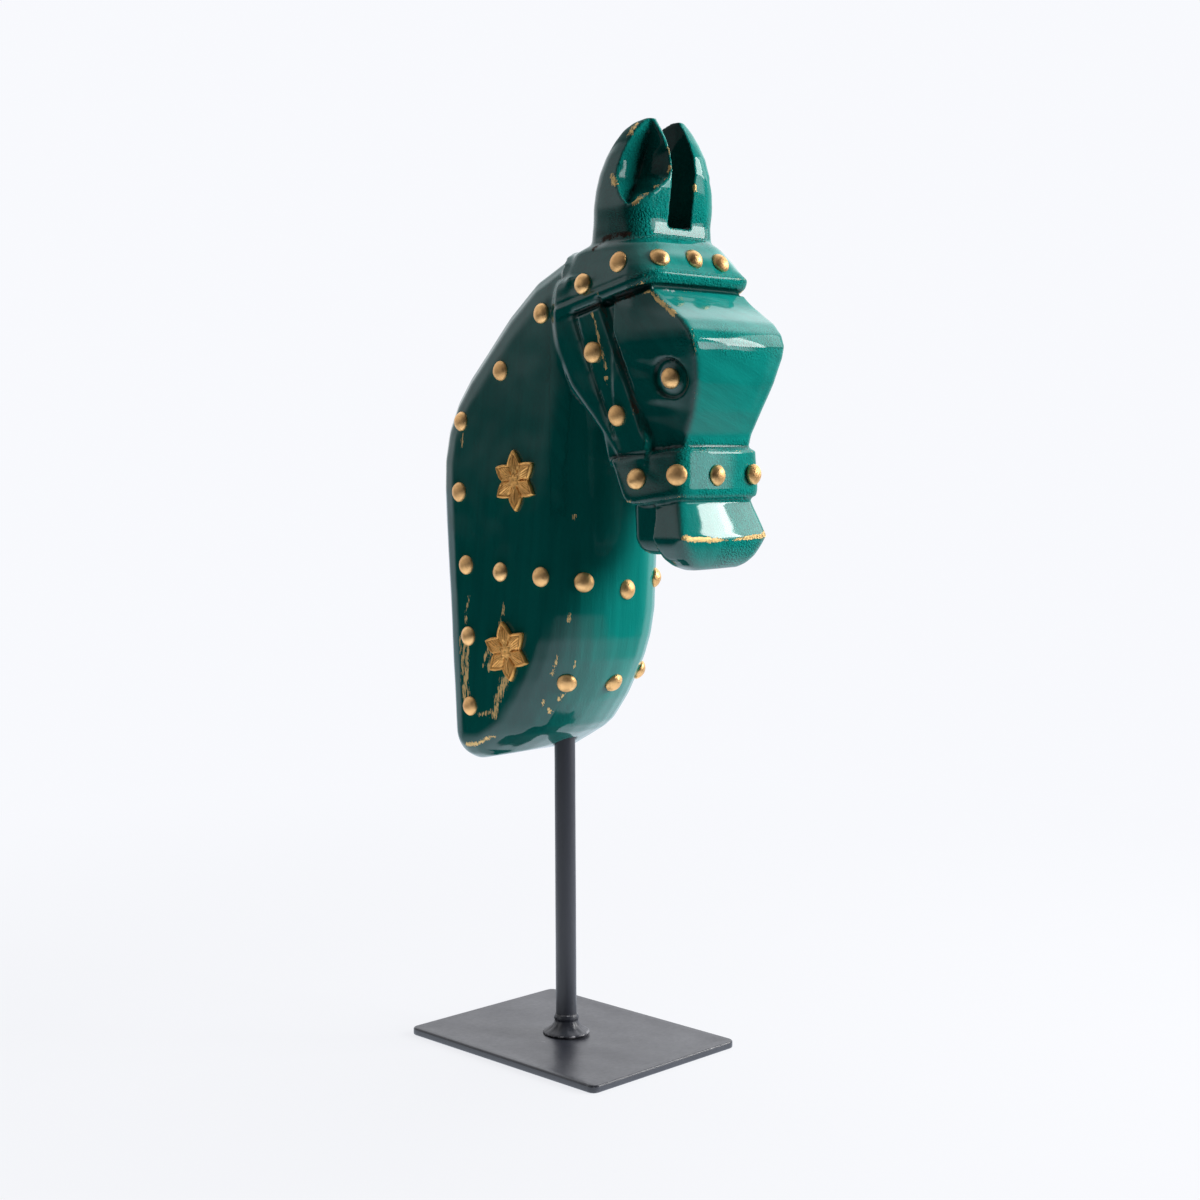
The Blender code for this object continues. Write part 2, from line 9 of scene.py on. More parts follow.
import logging
import math
from collections.abc import Callable, Iterable
from dataclasses import dataclass
from enum import Enum

import bmesh
import bpy
import numpy as np
from mathutils import Matrix, Vector, noise


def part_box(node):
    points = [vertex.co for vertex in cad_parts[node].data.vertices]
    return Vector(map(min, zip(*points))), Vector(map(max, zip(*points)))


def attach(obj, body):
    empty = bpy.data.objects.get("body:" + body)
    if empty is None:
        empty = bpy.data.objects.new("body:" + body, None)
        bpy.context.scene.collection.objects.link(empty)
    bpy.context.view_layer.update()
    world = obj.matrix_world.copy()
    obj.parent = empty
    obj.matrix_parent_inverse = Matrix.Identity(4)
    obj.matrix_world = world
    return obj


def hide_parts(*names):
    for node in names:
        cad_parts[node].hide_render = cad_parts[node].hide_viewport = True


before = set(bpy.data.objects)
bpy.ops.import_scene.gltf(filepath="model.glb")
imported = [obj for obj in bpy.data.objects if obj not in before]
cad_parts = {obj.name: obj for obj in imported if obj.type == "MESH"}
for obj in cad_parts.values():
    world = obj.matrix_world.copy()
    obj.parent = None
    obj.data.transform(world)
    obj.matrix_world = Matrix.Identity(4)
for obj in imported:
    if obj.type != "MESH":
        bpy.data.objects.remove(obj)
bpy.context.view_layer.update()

LOG = logging.getLogger("horse_head")
BODY = "root"
MM = 0.001
Colour = tuple[float, float, float]
Spot = tuple[float, float, float]
Pair = tuple[float, float]
Socket = bpy.types.NodeSocket
Feed = float | tuple[float, ...] | bpy.types.NodeSocket


class Slot(Enum):
    """The record's material slots."""

    WOOD = "painted_wood"
    NAILS = "brass_nails"
    STARS = "brass_stars"
    STEEL = "black_steel"


class Region(Enum):
    """Parts of the carving that were brushed in their own direction."""

    NECK = 0
    BAND = 1
    EARS = 2
    FOREHEAD = 3
    CHEEK = 4
    NOSE = 5
    NOSEBAND = 6
    MUZZLE = 7


# Helpers for meshes

def smoothstep(values: np.ndarray, low: float, high: float) -> np.ndarray:
    """A soft step from 0 at low to 1 at high.

    Args:
        values: numbers to step.
        low: where the step starts.
        high: where the step ends; it may be below low for a falling step.

    Returns:
        The stepped numbers, from 0 to 1.
    """
    share = np.clip((values - low) / (high - low), 0.0, 1.0)
    return share * share * (3.0 - 2.0 * share)


def ripple(places: np.ndarray, pitch: float, seed: float) -> np.ndarray:
    """Smooth noise at each place.

    Args:
        places: rows of x, y and z in millimetres.
        pitch: length of one swell in millimetres.
        seed: shifts the noise, so that each use has its own.

    Returns:
        Numbers from about -1 to 1.
    """
    shift = Vector((seed, seed * 1.7, -seed))
    return np.array([noise.noise(Vector(place) / pitch + shift) for place in places.tolist()])


def new_object(name: str, bm: bmesh.types.BMesh, smooth: bool = True) -> bpy.types.Object:
    """Turns a bmesh into an object of the scene.

    Args:
        name: name of the piece.
        bm: the mesh, which is freed.
        smooth: whether its faces are shaded smooth.

    Returns:
        The new object, at the origin.
    """
    bmesh.ops.recalc_face_normals(bm, faces=bm.faces)
    for polygon in bm.faces:
        polygon.smooth = smooth
    mesh = bpy.data.meshes.new(name)
    bm.to_mesh(mesh)
    bm.free()
    item = bpy.data.objects.new(name, mesh)
    bpy.context.scene.collection.objects.link(item)
    return item


def applied(item: bpy.types.Object, name: str) -> bpy.types.Object:
    """A new object with an old one's modifiers in its mesh.

    Args:
        item: the object with modifiers, which is removed.
        name: name of the new object.

    Returns:
        The new object, without modifiers.
    """
    graph = bpy.context.evaluated_depsgraph_get()
    mesh = bpy.data.meshes.new_from_object(item.evaluated_get(graph))
    bpy.data.objects.remove(item)
    mesh.name = name
    fresh = bpy.data.objects.new(name, mesh)
    bpy.context.scene.collection.objects.link(fresh)
    return fresh


def settle(item: bpy.types.Object, material: bpy.types.Material,
           nodes: Iterable[str]) -> bpy.types.Object:
    """Gives a finished piece its finish and its place in the frame.

    Args:
        item: the piece.
        material: its finish.
        nodes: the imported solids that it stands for.

    Returns:
        The same piece.
    """
    item.data.materials.clear()
    item.data.materials.append(material)
    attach(item, BODY)
    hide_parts(*nodes)
    return item


def node_frame(node: str) -> Matrix:
    """Where a nail or a star sits on the wood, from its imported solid's flat back.

    Args:
        node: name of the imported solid.

    Returns:
        The middle of the back, with Z along the way that the solid faces.
    """
    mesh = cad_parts[node].data
    middle = sum((vert.co for vert in mesh.vertices), Vector()) / len(mesh.vertices)
    area: dict[tuple[float, float, float], float] = {}
    for polygon in mesh.polygons:
        key = tuple(round(value, 2) for value in polygon.normal)
        area[key] = area.get(key, 0.0) + polygon.area
    facing = -Vector(max(area, key=area.get)).normalized()
    depth = min(vert.co.dot(facing) for vert in mesh.vertices)
    back = [vert.co for vert in mesh.vertices if vert.co.dot(facing) < depth + 1e-4]
    middle = sum(back, Vector()) / len(back)
    across = Vector((0, 0, 1)).cross(facing).normalized()
    axes = Matrix((across, facing.cross(across), facing)).transposed().to_4x4()
    return Matrix.Translation(middle) @ axes


class Skin:
    """A mesh held as arrays in millimetres, for smoothing, carving and painting masks."""

    def __init__(self, mesh: bpy.types.Mesh) -> None:
        """Reads the places and edges of a mesh.

        Args:
            mesh: the mesh, whose vertices are moved and painted later.
        """
        self.mesh = mesh
        self.count = len(mesh.vertices)
        places = np.empty(self.count * 3, np.float64)
        mesh.vertices.foreach_get("co", places)
        self.places = places.reshape(-1, 3) / MM
        pairs = np.empty(len(mesh.edges) * 2, np.int32)
        mesh.edges.foreach_get("vertices", pairs)
        self.starts, self.ends = pairs.reshape(-1, 2).T
        self.links = np.bincount(pairs, minlength=self.count).astype(np.float64)

    def neighbours(self, values: np.ndarray) -> np.ndarray:
        """The mean of each vertex's neighbours.

        Args:
            values: a number or a vector for each vertex.

        Returns:
            The means, in the same form.
        """
        flat = values.reshape(self.count, -1)
        total = np.empty_like(flat)
        for column in range(flat.shape[1]):
            one = flat[:, column]
            total[:, column] = np.bincount(self.starts, one[self.ends], self.count)
            total[:, column] += np.bincount(self.ends, one[self.starts], self.count)
        return (total / self.links[:, None]).reshape(values.shape)

    def blurred(self, values: np.ndarray, passes: int) -> np.ndarray:
        """Values spread out over the surface.

        Args:
            values: a number or a vector for each vertex.
            passes: how many edges far they spread.

        Returns:
            The blurred values.
        """
        for _ in range(passes):
            values = 0.5 * values + 0.5 * self.neighbours(values)
        return values

    def widened(self, values: np.ndarray, passes: int) -> np.ndarray:
        """High values grown outwards.

        Args:
            values: a number for each vertex.
            passes: how many edges far they grow.

        Returns:
            The grown values.
        """
        for _ in range(passes):
            grown = values.copy()
            np.maximum.at(grown, self.starts, values[self.ends])
            np.maximum.at(grown, self.ends, values[self.starts])
            values = grown
        return values

    def store(self) -> None:
        """Writes the places back to the mesh."""
        self.mesh.vertices.foreach_set("co", (self.places * MM).ravel())
        self.mesh.update()

    def normals(self) -> np.ndarray:
        """The vertex normals of the places as they are now.

        Returns:
            Rows of x, y and z.
        """
        self.store()
        values = np.empty(self.count * 3, np.float32)
        self.mesh.vertices.foreach_get("normal", values)
        return values.reshape(-1, 3).astype(np.float64)

    def creases(self, low: float, high: float) -> np.ndarray:
        """How sharply the surface turns at each vertex.

        Args:
            low: how far the normals scatter where a crease starts.
            high: how far they scatter at a full crease.

        Returns:
            Numbers from 0 to 1.
        """
        spread = self.blurred(self.normals(), 4)
        return smoothstep(1.0 - np.linalg.norm(spread, axis=1), low, high)

    def even_out(self, weight: np.ndarray, passes: int) -> None:
        """Smooths facets away without shrinking the form.

        Args:
            weight: how much of the smoothing each vertex takes.
            passes: number of smoothing rounds.
        """
        for _ in range(passes):
            for push in (0.6, -0.61):
                drift = self.neighbours(self.places) - self.places
                self.places += push * weight[:, None] * drift

    def soften(self, passes: int, amount: float) -> None:
        """Rounds every edge a little, as sanding and paint do.

        Args:
            passes: number of smoothing rounds.
            amount: how far each vertex moves to its neighbours' middle in a round.
        """
        for _ in range(passes):
            self.places += amount * (self.neighbours(self.places) - self.places)

    def bulge(self, reach: int) -> np.ndarray:
        """Signed curvature, above 0 on ridges and below 0 in hollows.

        Args:
            reach: how many edges wide a form is.

        Returns:
            How far each vertex stands out of its surroundings, in millimetres.
        """
        offset = self.places - self.blurred(self.places, reach)
        return np.einsum("ij,ij->i", offset, self.normals())

    def distance(self, path: tuple[Spot, ...]) -> np.ndarray:
        """Distance of each vertex from a line through some points.

        Args:
            path: the points, in millimetres.

        Returns:
            The distances, in millimetres.
        """
        best = np.full(self.count, 1e9)
        for first, last in zip(path, path[1:]):
            start = np.array(first)
            along = np.array(last) - start
            share = np.clip((self.places - start) @ along / (along @ along), 0.0, 1.0)
            gap = self.places - start - share[:, None] * along
            best = np.minimum(best, np.linalg.norm(gap, axis=1))
        return best

    def paint(self, name: str, values: np.ndarray) -> None:
        """Stores a mask as an attribute of the mesh.

        Args:
            name: name of the attribute.
            values: a number or a vector for each vertex.
        """
        kind = "FLOAT" if values.ndim == 1 else "FLOAT_VECTOR"
        layer = self.mesh.attributes.new(name, kind, "POINT")
        channel = "value" if values.ndim == 1 else "vector"
        layer.data.foreach_set(channel, values.astype(np.float32).ravel())


# Shader building

class Wiring:
    """Adds nodes to one shader tree and joins them."""

    def __init__(self, tree: bpy.types.NodeTree) -> None:
        """Starts with the tree to fill."""
        self.tree = tree

    def add(self, kind: str, feeds: dict | None = None, **settings: object) -> bpy.types.Node:
        """Adds a node.

        Args:
            kind: the node's type, without its ShaderNode prefix.
            feeds: a value or a socket for each input, by name or by number.
            **settings: properties of the node.

        Returns:
            The new node.
        """
        node = self.tree.nodes.new(f"ShaderNode{kind}")
        for key, value in settings.items():
            setattr(node, key, value)
        for key, value in (feeds or {}).items():
            if isinstance(value, bpy.types.NodeSocket):
                self.tree.links.new(value, node.inputs[key])
            else:
                node.inputs[key].default_value = value
        return node

    def math(self, operation: str, *values: Feed, clamp: bool = False) -> Socket:
        """One step of arithmetic on numbers or sockets."""
        feeds = dict(enumerate(values))
        return self.add("Math", feeds, operation=operation, use_clamp=clamp).outputs[0]

    def vector(self, operation: str, *values: Feed) -> Socket:
        """One step of arithmetic on vectors.

        Args:
            operation: the node's operation.
            *values: vectors or sockets.

        Returns:
            A vector, or a number for a dot product, a length or a distance.
        """
        node = self.add("VectorMath", dict(enumerate(values)), operation=operation)
        number = operation in ("DOT_PRODUCT", "LENGTH", "DISTANCE")
        return node.outputs["Value" if number else "Vector"]

    def scaled(self, vector: Socket, factors: Spot) -> Socket:
        """A vector multiplied by three factors."""
        return self.vector("MULTIPLY", vector, factors)

    def step(self, value: Feed, low: float, high: float, bottom: float = 0.0,
             top: float = 1.0) -> Socket:
        """A soft step.

        Args:
            value: what is stepped.
            low: the value where the step starts.
            high: the value where it ends; it may be below low.
            bottom: what the step gives at low.
            top: what it gives at high.

        Returns:
            The stepped number.
        """
        feeds = {"Value": value, "From Min": low, "From Max": high, "To Min": bottom,
                 "To Max": top}
        return self.add("MapRange", feeds, interpolation_type="SMOOTHSTEP").outputs["Result"]

    def noise(self, vector: Feed, scale: Feed, detail: float = 2.0, roughness: float = 0.5,
              distortion: float = 0.0) -> Socket:
        """Smooth noise.

        Args:
            vector: where it is read.
            scale: swells for each unit of length.
            detail: how many finer layers it has.
            roughness: how strong the finer layers are.
            distortion: how much it is twisted.

        Returns:
            A number from 0 to 1.
        """
        feeds = {"Vector": vector, "Scale": scale, "Detail": detail,
                 "Roughness": roughness, "Distortion": distortion}
        return self.add("TexNoise", feeds).outputs["Fac"]

    def cells(self, vector: Feed, scale: Feed, feature: str = "F1") -> bpy.types.Node:
        """A cell texture node."""
        return self.add("TexVoronoi", {"Vector": vector, "Scale": scale}, feature=feature)

    def blend(self, factor: Feed, first: Feed, second: Feed) -> Socket:
        """Two colours mixed.

        Args:
            factor: 0 gives the first colour and 1 the second.
            first: a colour or a socket.
            second: a colour or a socket.

        Returns:
            The mixed colour.
        """
        node = self.add("Mix", data_type="RGBA", blend_type="MIX")
        for socket, value in ((node.inputs[0], factor), (node.inputs[6], first),
                              (node.inputs[7], second)):
            if isinstance(value, bpy.types.NodeSocket):
                self.tree.links.new(value, socket)
            elif isinstance(value, tuple):
                socket.default_value = (*value, 1.0)
            else:
                socket.default_value = value
        return node.outputs[2]

    def lerp(self, factor: Feed, first: Feed, second: Feed) -> Socket:
        """Two numbers mixed by a factor."""
        feeds = {0: factor, 2: first, 3: second}
        return self.add("Mix", feeds, data_type="FLOAT").outputs[0]

    def mask(self, name: str) -> Socket:
        """A number painted on the mesh."""
        return self.add("Attribute", attribute_name=name).outputs["Fac"]

    def place(self) -> Socket:
        """The place on the piece, in millimetres."""
        spot = self.add("TexCoord").outputs["Object"]
        return self.scaled(spot, (1 / MM, 1 / MM, 1 / MM))

    def use(self, group: bpy.types.NodeTree, **feeds: Feed) -> bpy.types.Node:
        """Places a shared effect.

        Args:
            group: the effect's node group.
            **feeds: a value or a socket for each input; an underscore stands for a space.

        Returns:
            The group node, whose outputs are named.
        """
        node = self.add("Group")
        node.node_tree = group
        for key, value in feeds.items():
            socket = node.inputs[key.replace("_", " ")]
            if isinstance(value, bpy.types.NodeSocket):
                self.tree.links.new(value, socket)
            else:
                socket.default_value = value
        return node

    def bump(self, height: Feed, distance: float, normal: Socket | None = None) -> Socket:
        """A normal bent by a relief.

        Args:
            height: the relief, from 0 to 1.
            distance: how high 1 stands, in metres.
            normal: the normal to start from.

        Returns:
            The bent normal.
        """
        feeds = {"Strength": 1.0, "Distance": distance, "Height": height}
        if normal is not None:
            feeds["Normal"] = normal
        return self.add("Bump", feeds).outputs["Normal"]


def effect(name: str, inputs: dict[str, tuple[str, object]], outputs: dict[str, str],
           fill: Callable[[Wiring, dict], dict]) -> bpy.types.NodeTree:
    """Builds a shared effect as a node group with named sockets.

    Args:
        name: name of the effect.
        inputs: socket kind and starting value of each input.
        outputs: socket kind of each output.
        fill: makes the nodes; takes the wiring and the input sockets, returns the outputs.

    Returns:
        The node group.
    """
    tree = bpy.data.node_groups.new(name, "ShaderNodeTree")
    for label, (kind, start) in inputs.items():
        socket = tree.interface.new_socket(label, in_out="INPUT", socket_type=f"NodeSocket{kind}")
        if start is not None:
            socket.default_value = start
    for label, kind in outputs.items():
        tree.interface.new_socket(label, in_out="OUTPUT", socket_type=f"NodeSocket{kind}")
    entry = tree.nodes.new("NodeGroupInput")
    leave = tree.nodes.new("NodeGroupOutput")
    made = fill(Wiring(tree), {socket.name: socket for socket in entry.outputs})
    for label, socket in made.items():
        tree.links.new(socket, leave.inputs[label])
    return tree


class Effects:
    """The effects that several finishes share."""

    def __init__(self) -> None:
        """Builds each effect once."""
        self.streaks = effect(
            "brush_streaks",
            {"Vector": ("Vector", None), "Scale": ("Float", 2.0)},
            {"Height": "Float", "Tone": "Float"}, self._streaks)
        self.wrinkle = effect(
            "paint_wrinkle",
            {"Vector": ("Vector", None), "Scale": ("Float", 1.0)},
            {"Height": "Float"}, self._wrinkle)
        self.wear = effect(
            "worn_mask",
            {"Vector": ("Vector", None), "Amount": ("Float", 0.0), "Scale": ("Float", 1.0),
             "Sharpness": ("Float", 0.1)},
            {"Mask": "Float"}, self._wear)
        self.specks = effect(
            "specks",
            {"Vector": ("Vector", None), "Scale": ("Float", 0.3), "Size": ("Float", 0.06),
             "Share": ("Float", 0.3)},
            {"Mask": "Float"}, self._specks)
        self.tarnish = effect(
            "tarnish",
            {"Vector": ("Vector", None), "Scale": ("Float", 0.5)},
            {"Mask": "Float", "Grain": "Float"}, self._tarnish)

    @staticmethod
    def _streaks(wiring: Wiring, given: dict) -> dict:
        """Fine bristle lines over broader strokes.

        Args:
            wiring: the group's wiring.
            given: the group's input sockets, by name.

        Returns:
            The group's outputs, by name.
        """
        fine = wiring.noise(given["Vector"], given["Scale"], 3.0, 0.6)
        broad_scale = wiring.math("MULTIPLY", given["Scale"], 0.22)
        broad = wiring.noise(given["Vector"], broad_scale, 2.0, 0.5)
        height = wiring.lerp(0.55, fine, broad)
        return {"Height": height, "Tone": wiring.step(broad, 0.3, 0.7)}

    @staticmethod
    def _wrinkle(wiring: Wiring, given: dict) -> dict:
        """Cushions and swells of thick paint, like the grain of leather.

        Args:
            wiring: the group's wiring.
            given: the group's input sockets, by name.

        Returns:
            The group's outputs, by name.
        """
        twist = wiring.add("TexNoise", {"Vector": given["Vector"], "Scale": given["Scale"],
                                        "Detail": 2.0}).outputs["Color"]
        moved = wiring.vector("MULTIPLY_ADD", twist, (0.9, 0.9, 0.9), given["Vector"])
        rim = wiring.cells(moved, given["Scale"], "DISTANCE_TO_EDGE").outputs["Distance"]
        cushion = wiring.step(rim, 0.0, 0.35)
        finer = wiring.math("MULTIPLY", given["Scale"], 1.3)
        swells = wiring.noise(given["Vector"], finer, 2.0, 0.5)
        return {"Height": wiring.lerp(0.6, cushion, swells)}

    @staticmethod
    def _wear(wiring: Wiring, given: dict) -> dict:
        """A mask that grows with the amount and breaks up into flakes.

        Args:
            wiring: the group's wiring.
            given: the group's input sockets, by name.

        Returns:
            The group's outputs, by name.
        """
        half = wiring.math("MULTIPLY", given["Scale"], 0.3)
        flakes = wiring.noise(given["Vector"], given["Scale"], 4.0, 0.65)
        drift = wiring.noise(given["Vector"], half, 2.0, 0.5)
        level = wiring.step(wiring.lerp(0.35, flakes, drift), 0.33, 0.67)
        spread = wiring.math("ADD", given["Amount"], wiring.math("SUBTRACT", level, 1.0))
        ready = wiring.math("DIVIDE", spread, given["Sharpness"], clamp=True)
        return {"Mask": ready}

    @staticmethod
    def _specks(wiring: Wiring, given: dict) -> dict:
        """Scattered dots of uneven size.

        Args:
            wiring: the group's wiring.
            given: the group's input sockets, by name.

        Returns:
            The group's outputs, by name.
        """
        cells = wiring.cells(given["Vector"], given["Scale"])
        pick = wiring.add("SeparateColor", {0: cells.outputs["Color"]}).outputs[0]
        chosen = wiring.math("LESS_THAN", pick, given["Share"])
        wide = wiring.math("MULTIPLY", given["Size"], wiring.math("ADD", 0.4, pick))
        inside = wiring.math("LESS_THAN", cells.outputs["Distance"], wide)
        return {"Mask": wiring.math("MULTIPLY", chosen, inside)}

    @staticmethod
    def _tarnish(wiring: Wiring, given: dict) -> dict:
        """Blotches of old brown film and a fine grain in metal.

        Args:
            wiring: the group's wiring.
            given: the group's input sockets, by name.

        Returns:
            The group's outputs, by name.
        """
        blotch = wiring.noise(given["Vector"], given["Scale"], 4.0, 0.6, 0.4)
        fine_scale = wiring.math("MULTIPLY", given["Scale"], 7.0)
        fine = wiring.noise(given["Vector"], fine_scale, 3.0, 0.6)
        return {"Mask": wiring.step(blotch, 0.38, 0.68), "Grain": fine}


def new_material(name: str) -> tuple[bpy.types.Material, Wiring, bpy.types.Node]:
    """Starts a finish.

    Args:
        name: name of the finish.

    Returns:
        The material, its wiring and its Principled shader.
    """
    material = bpy.data.materials.new(name)
    material.use_nodes = True
    return material, Wiring(material.node_tree), material.node_tree.nodes["Principled BSDF"]


@dataclass(frozen=True)
class Lacquer:
    """Thick teal paint over gilded wood, brushed on by hand."""

    teal: Colour = (0.0045, 0.215, 0.186)
    deep: Colour = (0.0035, 0.172, 0.150)
    gilding: Colour = (0.80, 0.56, 0.24)
    painted_sheen: Colour = (0.42, 0.47, 0.47)
    # pale grey-blue of a painted highlight at the forehead's top corner
    stain: Colour = (0.115, 0.070, 0.050)
    # dark paint of hollows, cuts and gaps: partly grime, partly painted shade
    grime_and_shade: Colour = (0.002, 0.012, 0.011)
    brush_relief: float = 0.00026
    wrinkle_relief: float = 0.001
    paint_thickness: float = 0.00006
    coat_roughness: float = 0.065
    # what is left of the gloss where the wood is bare, in hollows and on dulled paint
    bare_gloss: float = 0.12
    hollow_gloss: float = 0.15
    dull_gloss: float = 0.25
    gold_metal: float = 0.75

    def material(self, effects: Effects) -> bpy.types.Material:
        """Builds the paint from the masks on the mesh.

        Args:
            effects: the shared effects.

        Returns:
            The material.
        """
        material, wiring, shader = new_material("teal_lacquer")
        place = wiring.place()
        stroke = wiring.add("Attribute", attribute_name="stroke").outputs["Vector"]
        streaks = wiring.use(effects.streaks, Vector=stroke, Scale=1.1)
        wrinkle = wiring.use(effects.wrinkle, Vector=place, Scale=0.8)
        cloud = wiring.noise(place, 0.035, 2.0, 0.5)

        tone = wiring.lerp(0.6, streaks.outputs["Tone"], cloud)
        paint = wiring.blend(wiring.step(tone, 0.15, 0.85), self.deep, self.teal)
        hollow = wiring.mask("hollow")
        # hollows, cuts, the ear slot and the eye rings are darkened: grime and painted shade
        paint = wiring.blend(wiring.math("MULTIPLY", hollow, 0.85), paint, self.grime_and_shade)

        stain = wiring.use(effects.wear, Vector=stroke, Scale=0.9, Sharpness=0.55,
                           Amount=wiring.mask("stain")).outputs["Mask"]
        paint = wiring.blend(stain, paint, self.stain)

        worn = wiring.math("ADD", wiring.mask("rub"), wiring.mask("edge_rub"), clamp=True)
        dashes = wiring.scaled(place, (1.0, 1.0, 0.22))
        gold = wiring.use(effects.wear, Vector=dashes, Scale=1.9, Sharpness=0.12,
                          Amount=worn).outputs["Mask"]
        fleck = wiring.use(effects.specks, Vector=place, Scale=0.16, Size=0.035, Share=0.22)
        gold = wiring.math("MAXIMUM", gold,
                           wiring.math("MULTIPLY", fleck.outputs["Mask"], 0.55))
        paint = wiring.blend(gold, paint, self.gilding)

        # a painted highlight: pale sheen on the forehead's top corner under the brow band
        painted_sheen = wiring.use(effects.wear, Vector=place, Scale=0.9, Sharpness=0.3,
                           Amount=wiring.mask("painted_sheen")).outputs["Mask"]
        paint = wiring.blend(painted_sheen, paint, self.painted_sheen)

        bare = wiring.math("MAXIMUM", stain, gold)
        brushed = wiring.bump(streaks.outputs["Height"], self.brush_relief)
        crackled = wiring.math("MULTIPLY", wiring.mask("wrinkle"), wrinkle.outputs["Height"])
        broken = wiring.bump(crackled, self.wrinkle_relief, brushed)
        normal = wiring.bump(wiring.math("SUBTRACT", 1.0, gold), self.paint_thickness, broken)

        links = material.node_tree.links
        links.new(paint, shader.inputs["Base Color"])
        links.new(normal, shader.inputs["Normal"])
        gloss = wiring.lerp(streaks.outputs["Tone"], 0.34, 0.27)
        links.new(wiring.lerp(bare, gloss, 0.55), shader.inputs["Roughness"])
        film = wiring.math("MULTIPLY", wiring.lerp(bare, 1.0, self.bare_gloss),
                           wiring.lerp(hollow, 1.0, self.hollow_gloss))
        film = wiring.math("MULTIPLY", film,
                           wiring.lerp(wiring.mask("dull"), 1.0, self.dull_gloss))
        links.new(film, shader.inputs["Coat Weight"])
        links.new(wiring.math("MULTIPLY", gold, self.gold_metal), shader.inputs["Metallic"])
        shader.inputs["Coat Roughness"].default_value = self.coat_roughness
        shader.inputs["Specular IOR Level"].default_value = 0.0
        return material


@dataclass(frozen=True)
class Brass:
    """Old brass, brown where it is seldom touched.

    Attributes:
        name: name of the finish.
        bright: colour of the touched metal.
        brown: colour under the film.
        polish: roughness of the best polished pieces.
        tarnish_scale: blotches of film for each millimetre.
        film: how thick the blotches are.
        duller: how much rougher the worst polished pieces are.
        dent_relief: depth of the small dents, in metres.
        grain_relief: depth of the grain, in metres.
    """

    name: str
    bright: Colour
    brown: Colour
    polish: float
    tarnish_scale: float
    film: float = 0.45
    duller: float = 0.2
    dent_relief: float = 0.0001
    grain_relief: float = 0.00003

    def material(self, effects: Effects) -> bpy.types.Material:
        """Builds the metal.

        Args:
            effects: the shared effects.

        Returns:
            The material.
        """
        material, wiring, shader = new_material(self.name)
        place = wiring.place()
        film = wiring.use(effects.tarnish, Vector=place, Scale=self.tarnish_scale)
        mask = wiring.math("MULTIPLY", film.outputs["Mask"], self.film)
        mask = wiring.math("MAXIMUM", mask, wiring.mask("recess"))
        colour = wiring.blend(mask, self.bright, self.brown)
        each = wiring.noise(place, 0.045, 1.0, 0.5)
        rough = wiring.step(each, 0.35, 0.6, self.polish, self.polish + self.duller)
        rough = wiring.lerp(mask, rough, 0.5)
        dents = wiring.noise(place, 0.7, 3.0, 0.55)
        normal = wiring.bump(dents, self.dent_relief)
        normal = wiring.bump(film.outputs["Grain"], self.grain_relief, normal)
        links = material.node_tree.links
        links.new(colour, shader.inputs["Base Color"])
        links.new(rough, shader.inputs["Roughness"])
        links.new(normal, shader.inputs["Normal"])
        shader.inputs["Metallic"].default_value = 1.0
        return material


@dataclass(frozen=True)
class BlackSteel:
    """Satin black paint on mild steel, with pits and a few bare specks.

    Attributes:
        name: name of the finish.
        roughness: middle roughness of the paint.
        upright: whether its blotches are drawn out along the rod.
        black: colour of fresh paint.
        worn: colour of thin paint.
        pit: colour in the pits.
        rubbed: colour of rubbed edges.
        chip: colour of bare specks.
        gloss: strength of the paint's own reflection.
        thinness: how thin the paint is in its blotches.
    """

    name: str
    roughness: float
    upright: bool = False
    black: Colour = (0.018, 0.020, 0.028)
    worn: Colour = (0.055, 0.057, 0.068)
    pit: Colour = (0.012, 0.012, 0.013)
    rubbed: Colour = (0.3, 0.3, 0.32)
    chip: Colour = (0.62, 0.62, 0.64)
    gloss: float = 0.68
    thinness: float = 0.3

    def material(self, effects: Effects) -> bpy.types.Material:
        """Builds the paint.

        Args:
            effects: the shared effects.

        Returns:
            The material.
        """
        material, wiring, shader = new_material(self.name)
        place = wiring.place()
        drawn = wiring.scaled(place, (1.0, 1.0, 0.08)) if self.upright else place
        film = wiring.use(effects.tarnish, Vector=drawn, Scale=0.08)
        faint = wiring.math("MULTIPLY", film.outputs["Mask"], self.thinness)
        colour = wiring.blend(faint, self.black, self.worn)
        pits = wiring.use(effects.specks, Vector=place, Scale=0.09, Size=0.05, Share=0.3)
        colour = wiring.blend(pits.outputs["Mask"], colour, self.pit)
        chips = wiring.use(effects.specks, Vector=wiring.scaled(place, (1.3, 1.1, 1.2)),
                           Scale=0.07, Size=0.022, Share=0.16)
        colour = wiring.blend(chips.outputs["Mask"], colour, self.chip)
        edge = wiring.use(effects.wear, Vector=place, Scale=0.6, Sharpness=0.2,
                          Amount=wiring.mask("edge_rub")).outputs["Mask"]
        colour = wiring.blend(wiring.math("MULTIPLY", edge, 0.6), colour, self.rubbed)
        normal = wiring.bump(film.outputs["Grain"], 0.00004)
        normal = wiring.bump(pits.outputs["Mask"], -0.0002, normal)
        rough = wiring.lerp(film.outputs["Grain"], self.roughness - 0.06,
                            self.roughness + 0.12)
        shader.inputs["Specular IOR Level"].default_value = self.gloss
        links = material.node_tree.links
        links.new(colour, shader.inputs["Base Color"])
        links.new(rough, shader.inputs["Roughness"])
        links.new(normal, shader.inputs["Normal"])
        return material


# The carving

def both_sides(path: tuple[Spot, ...]) -> tuple[tuple[Spot, ...], tuple[Spot, ...]]:
    """A path on the horse's right side and its mirror image on the left side."""
    return path, tuple((-x, y, z) for x, y, z in path)


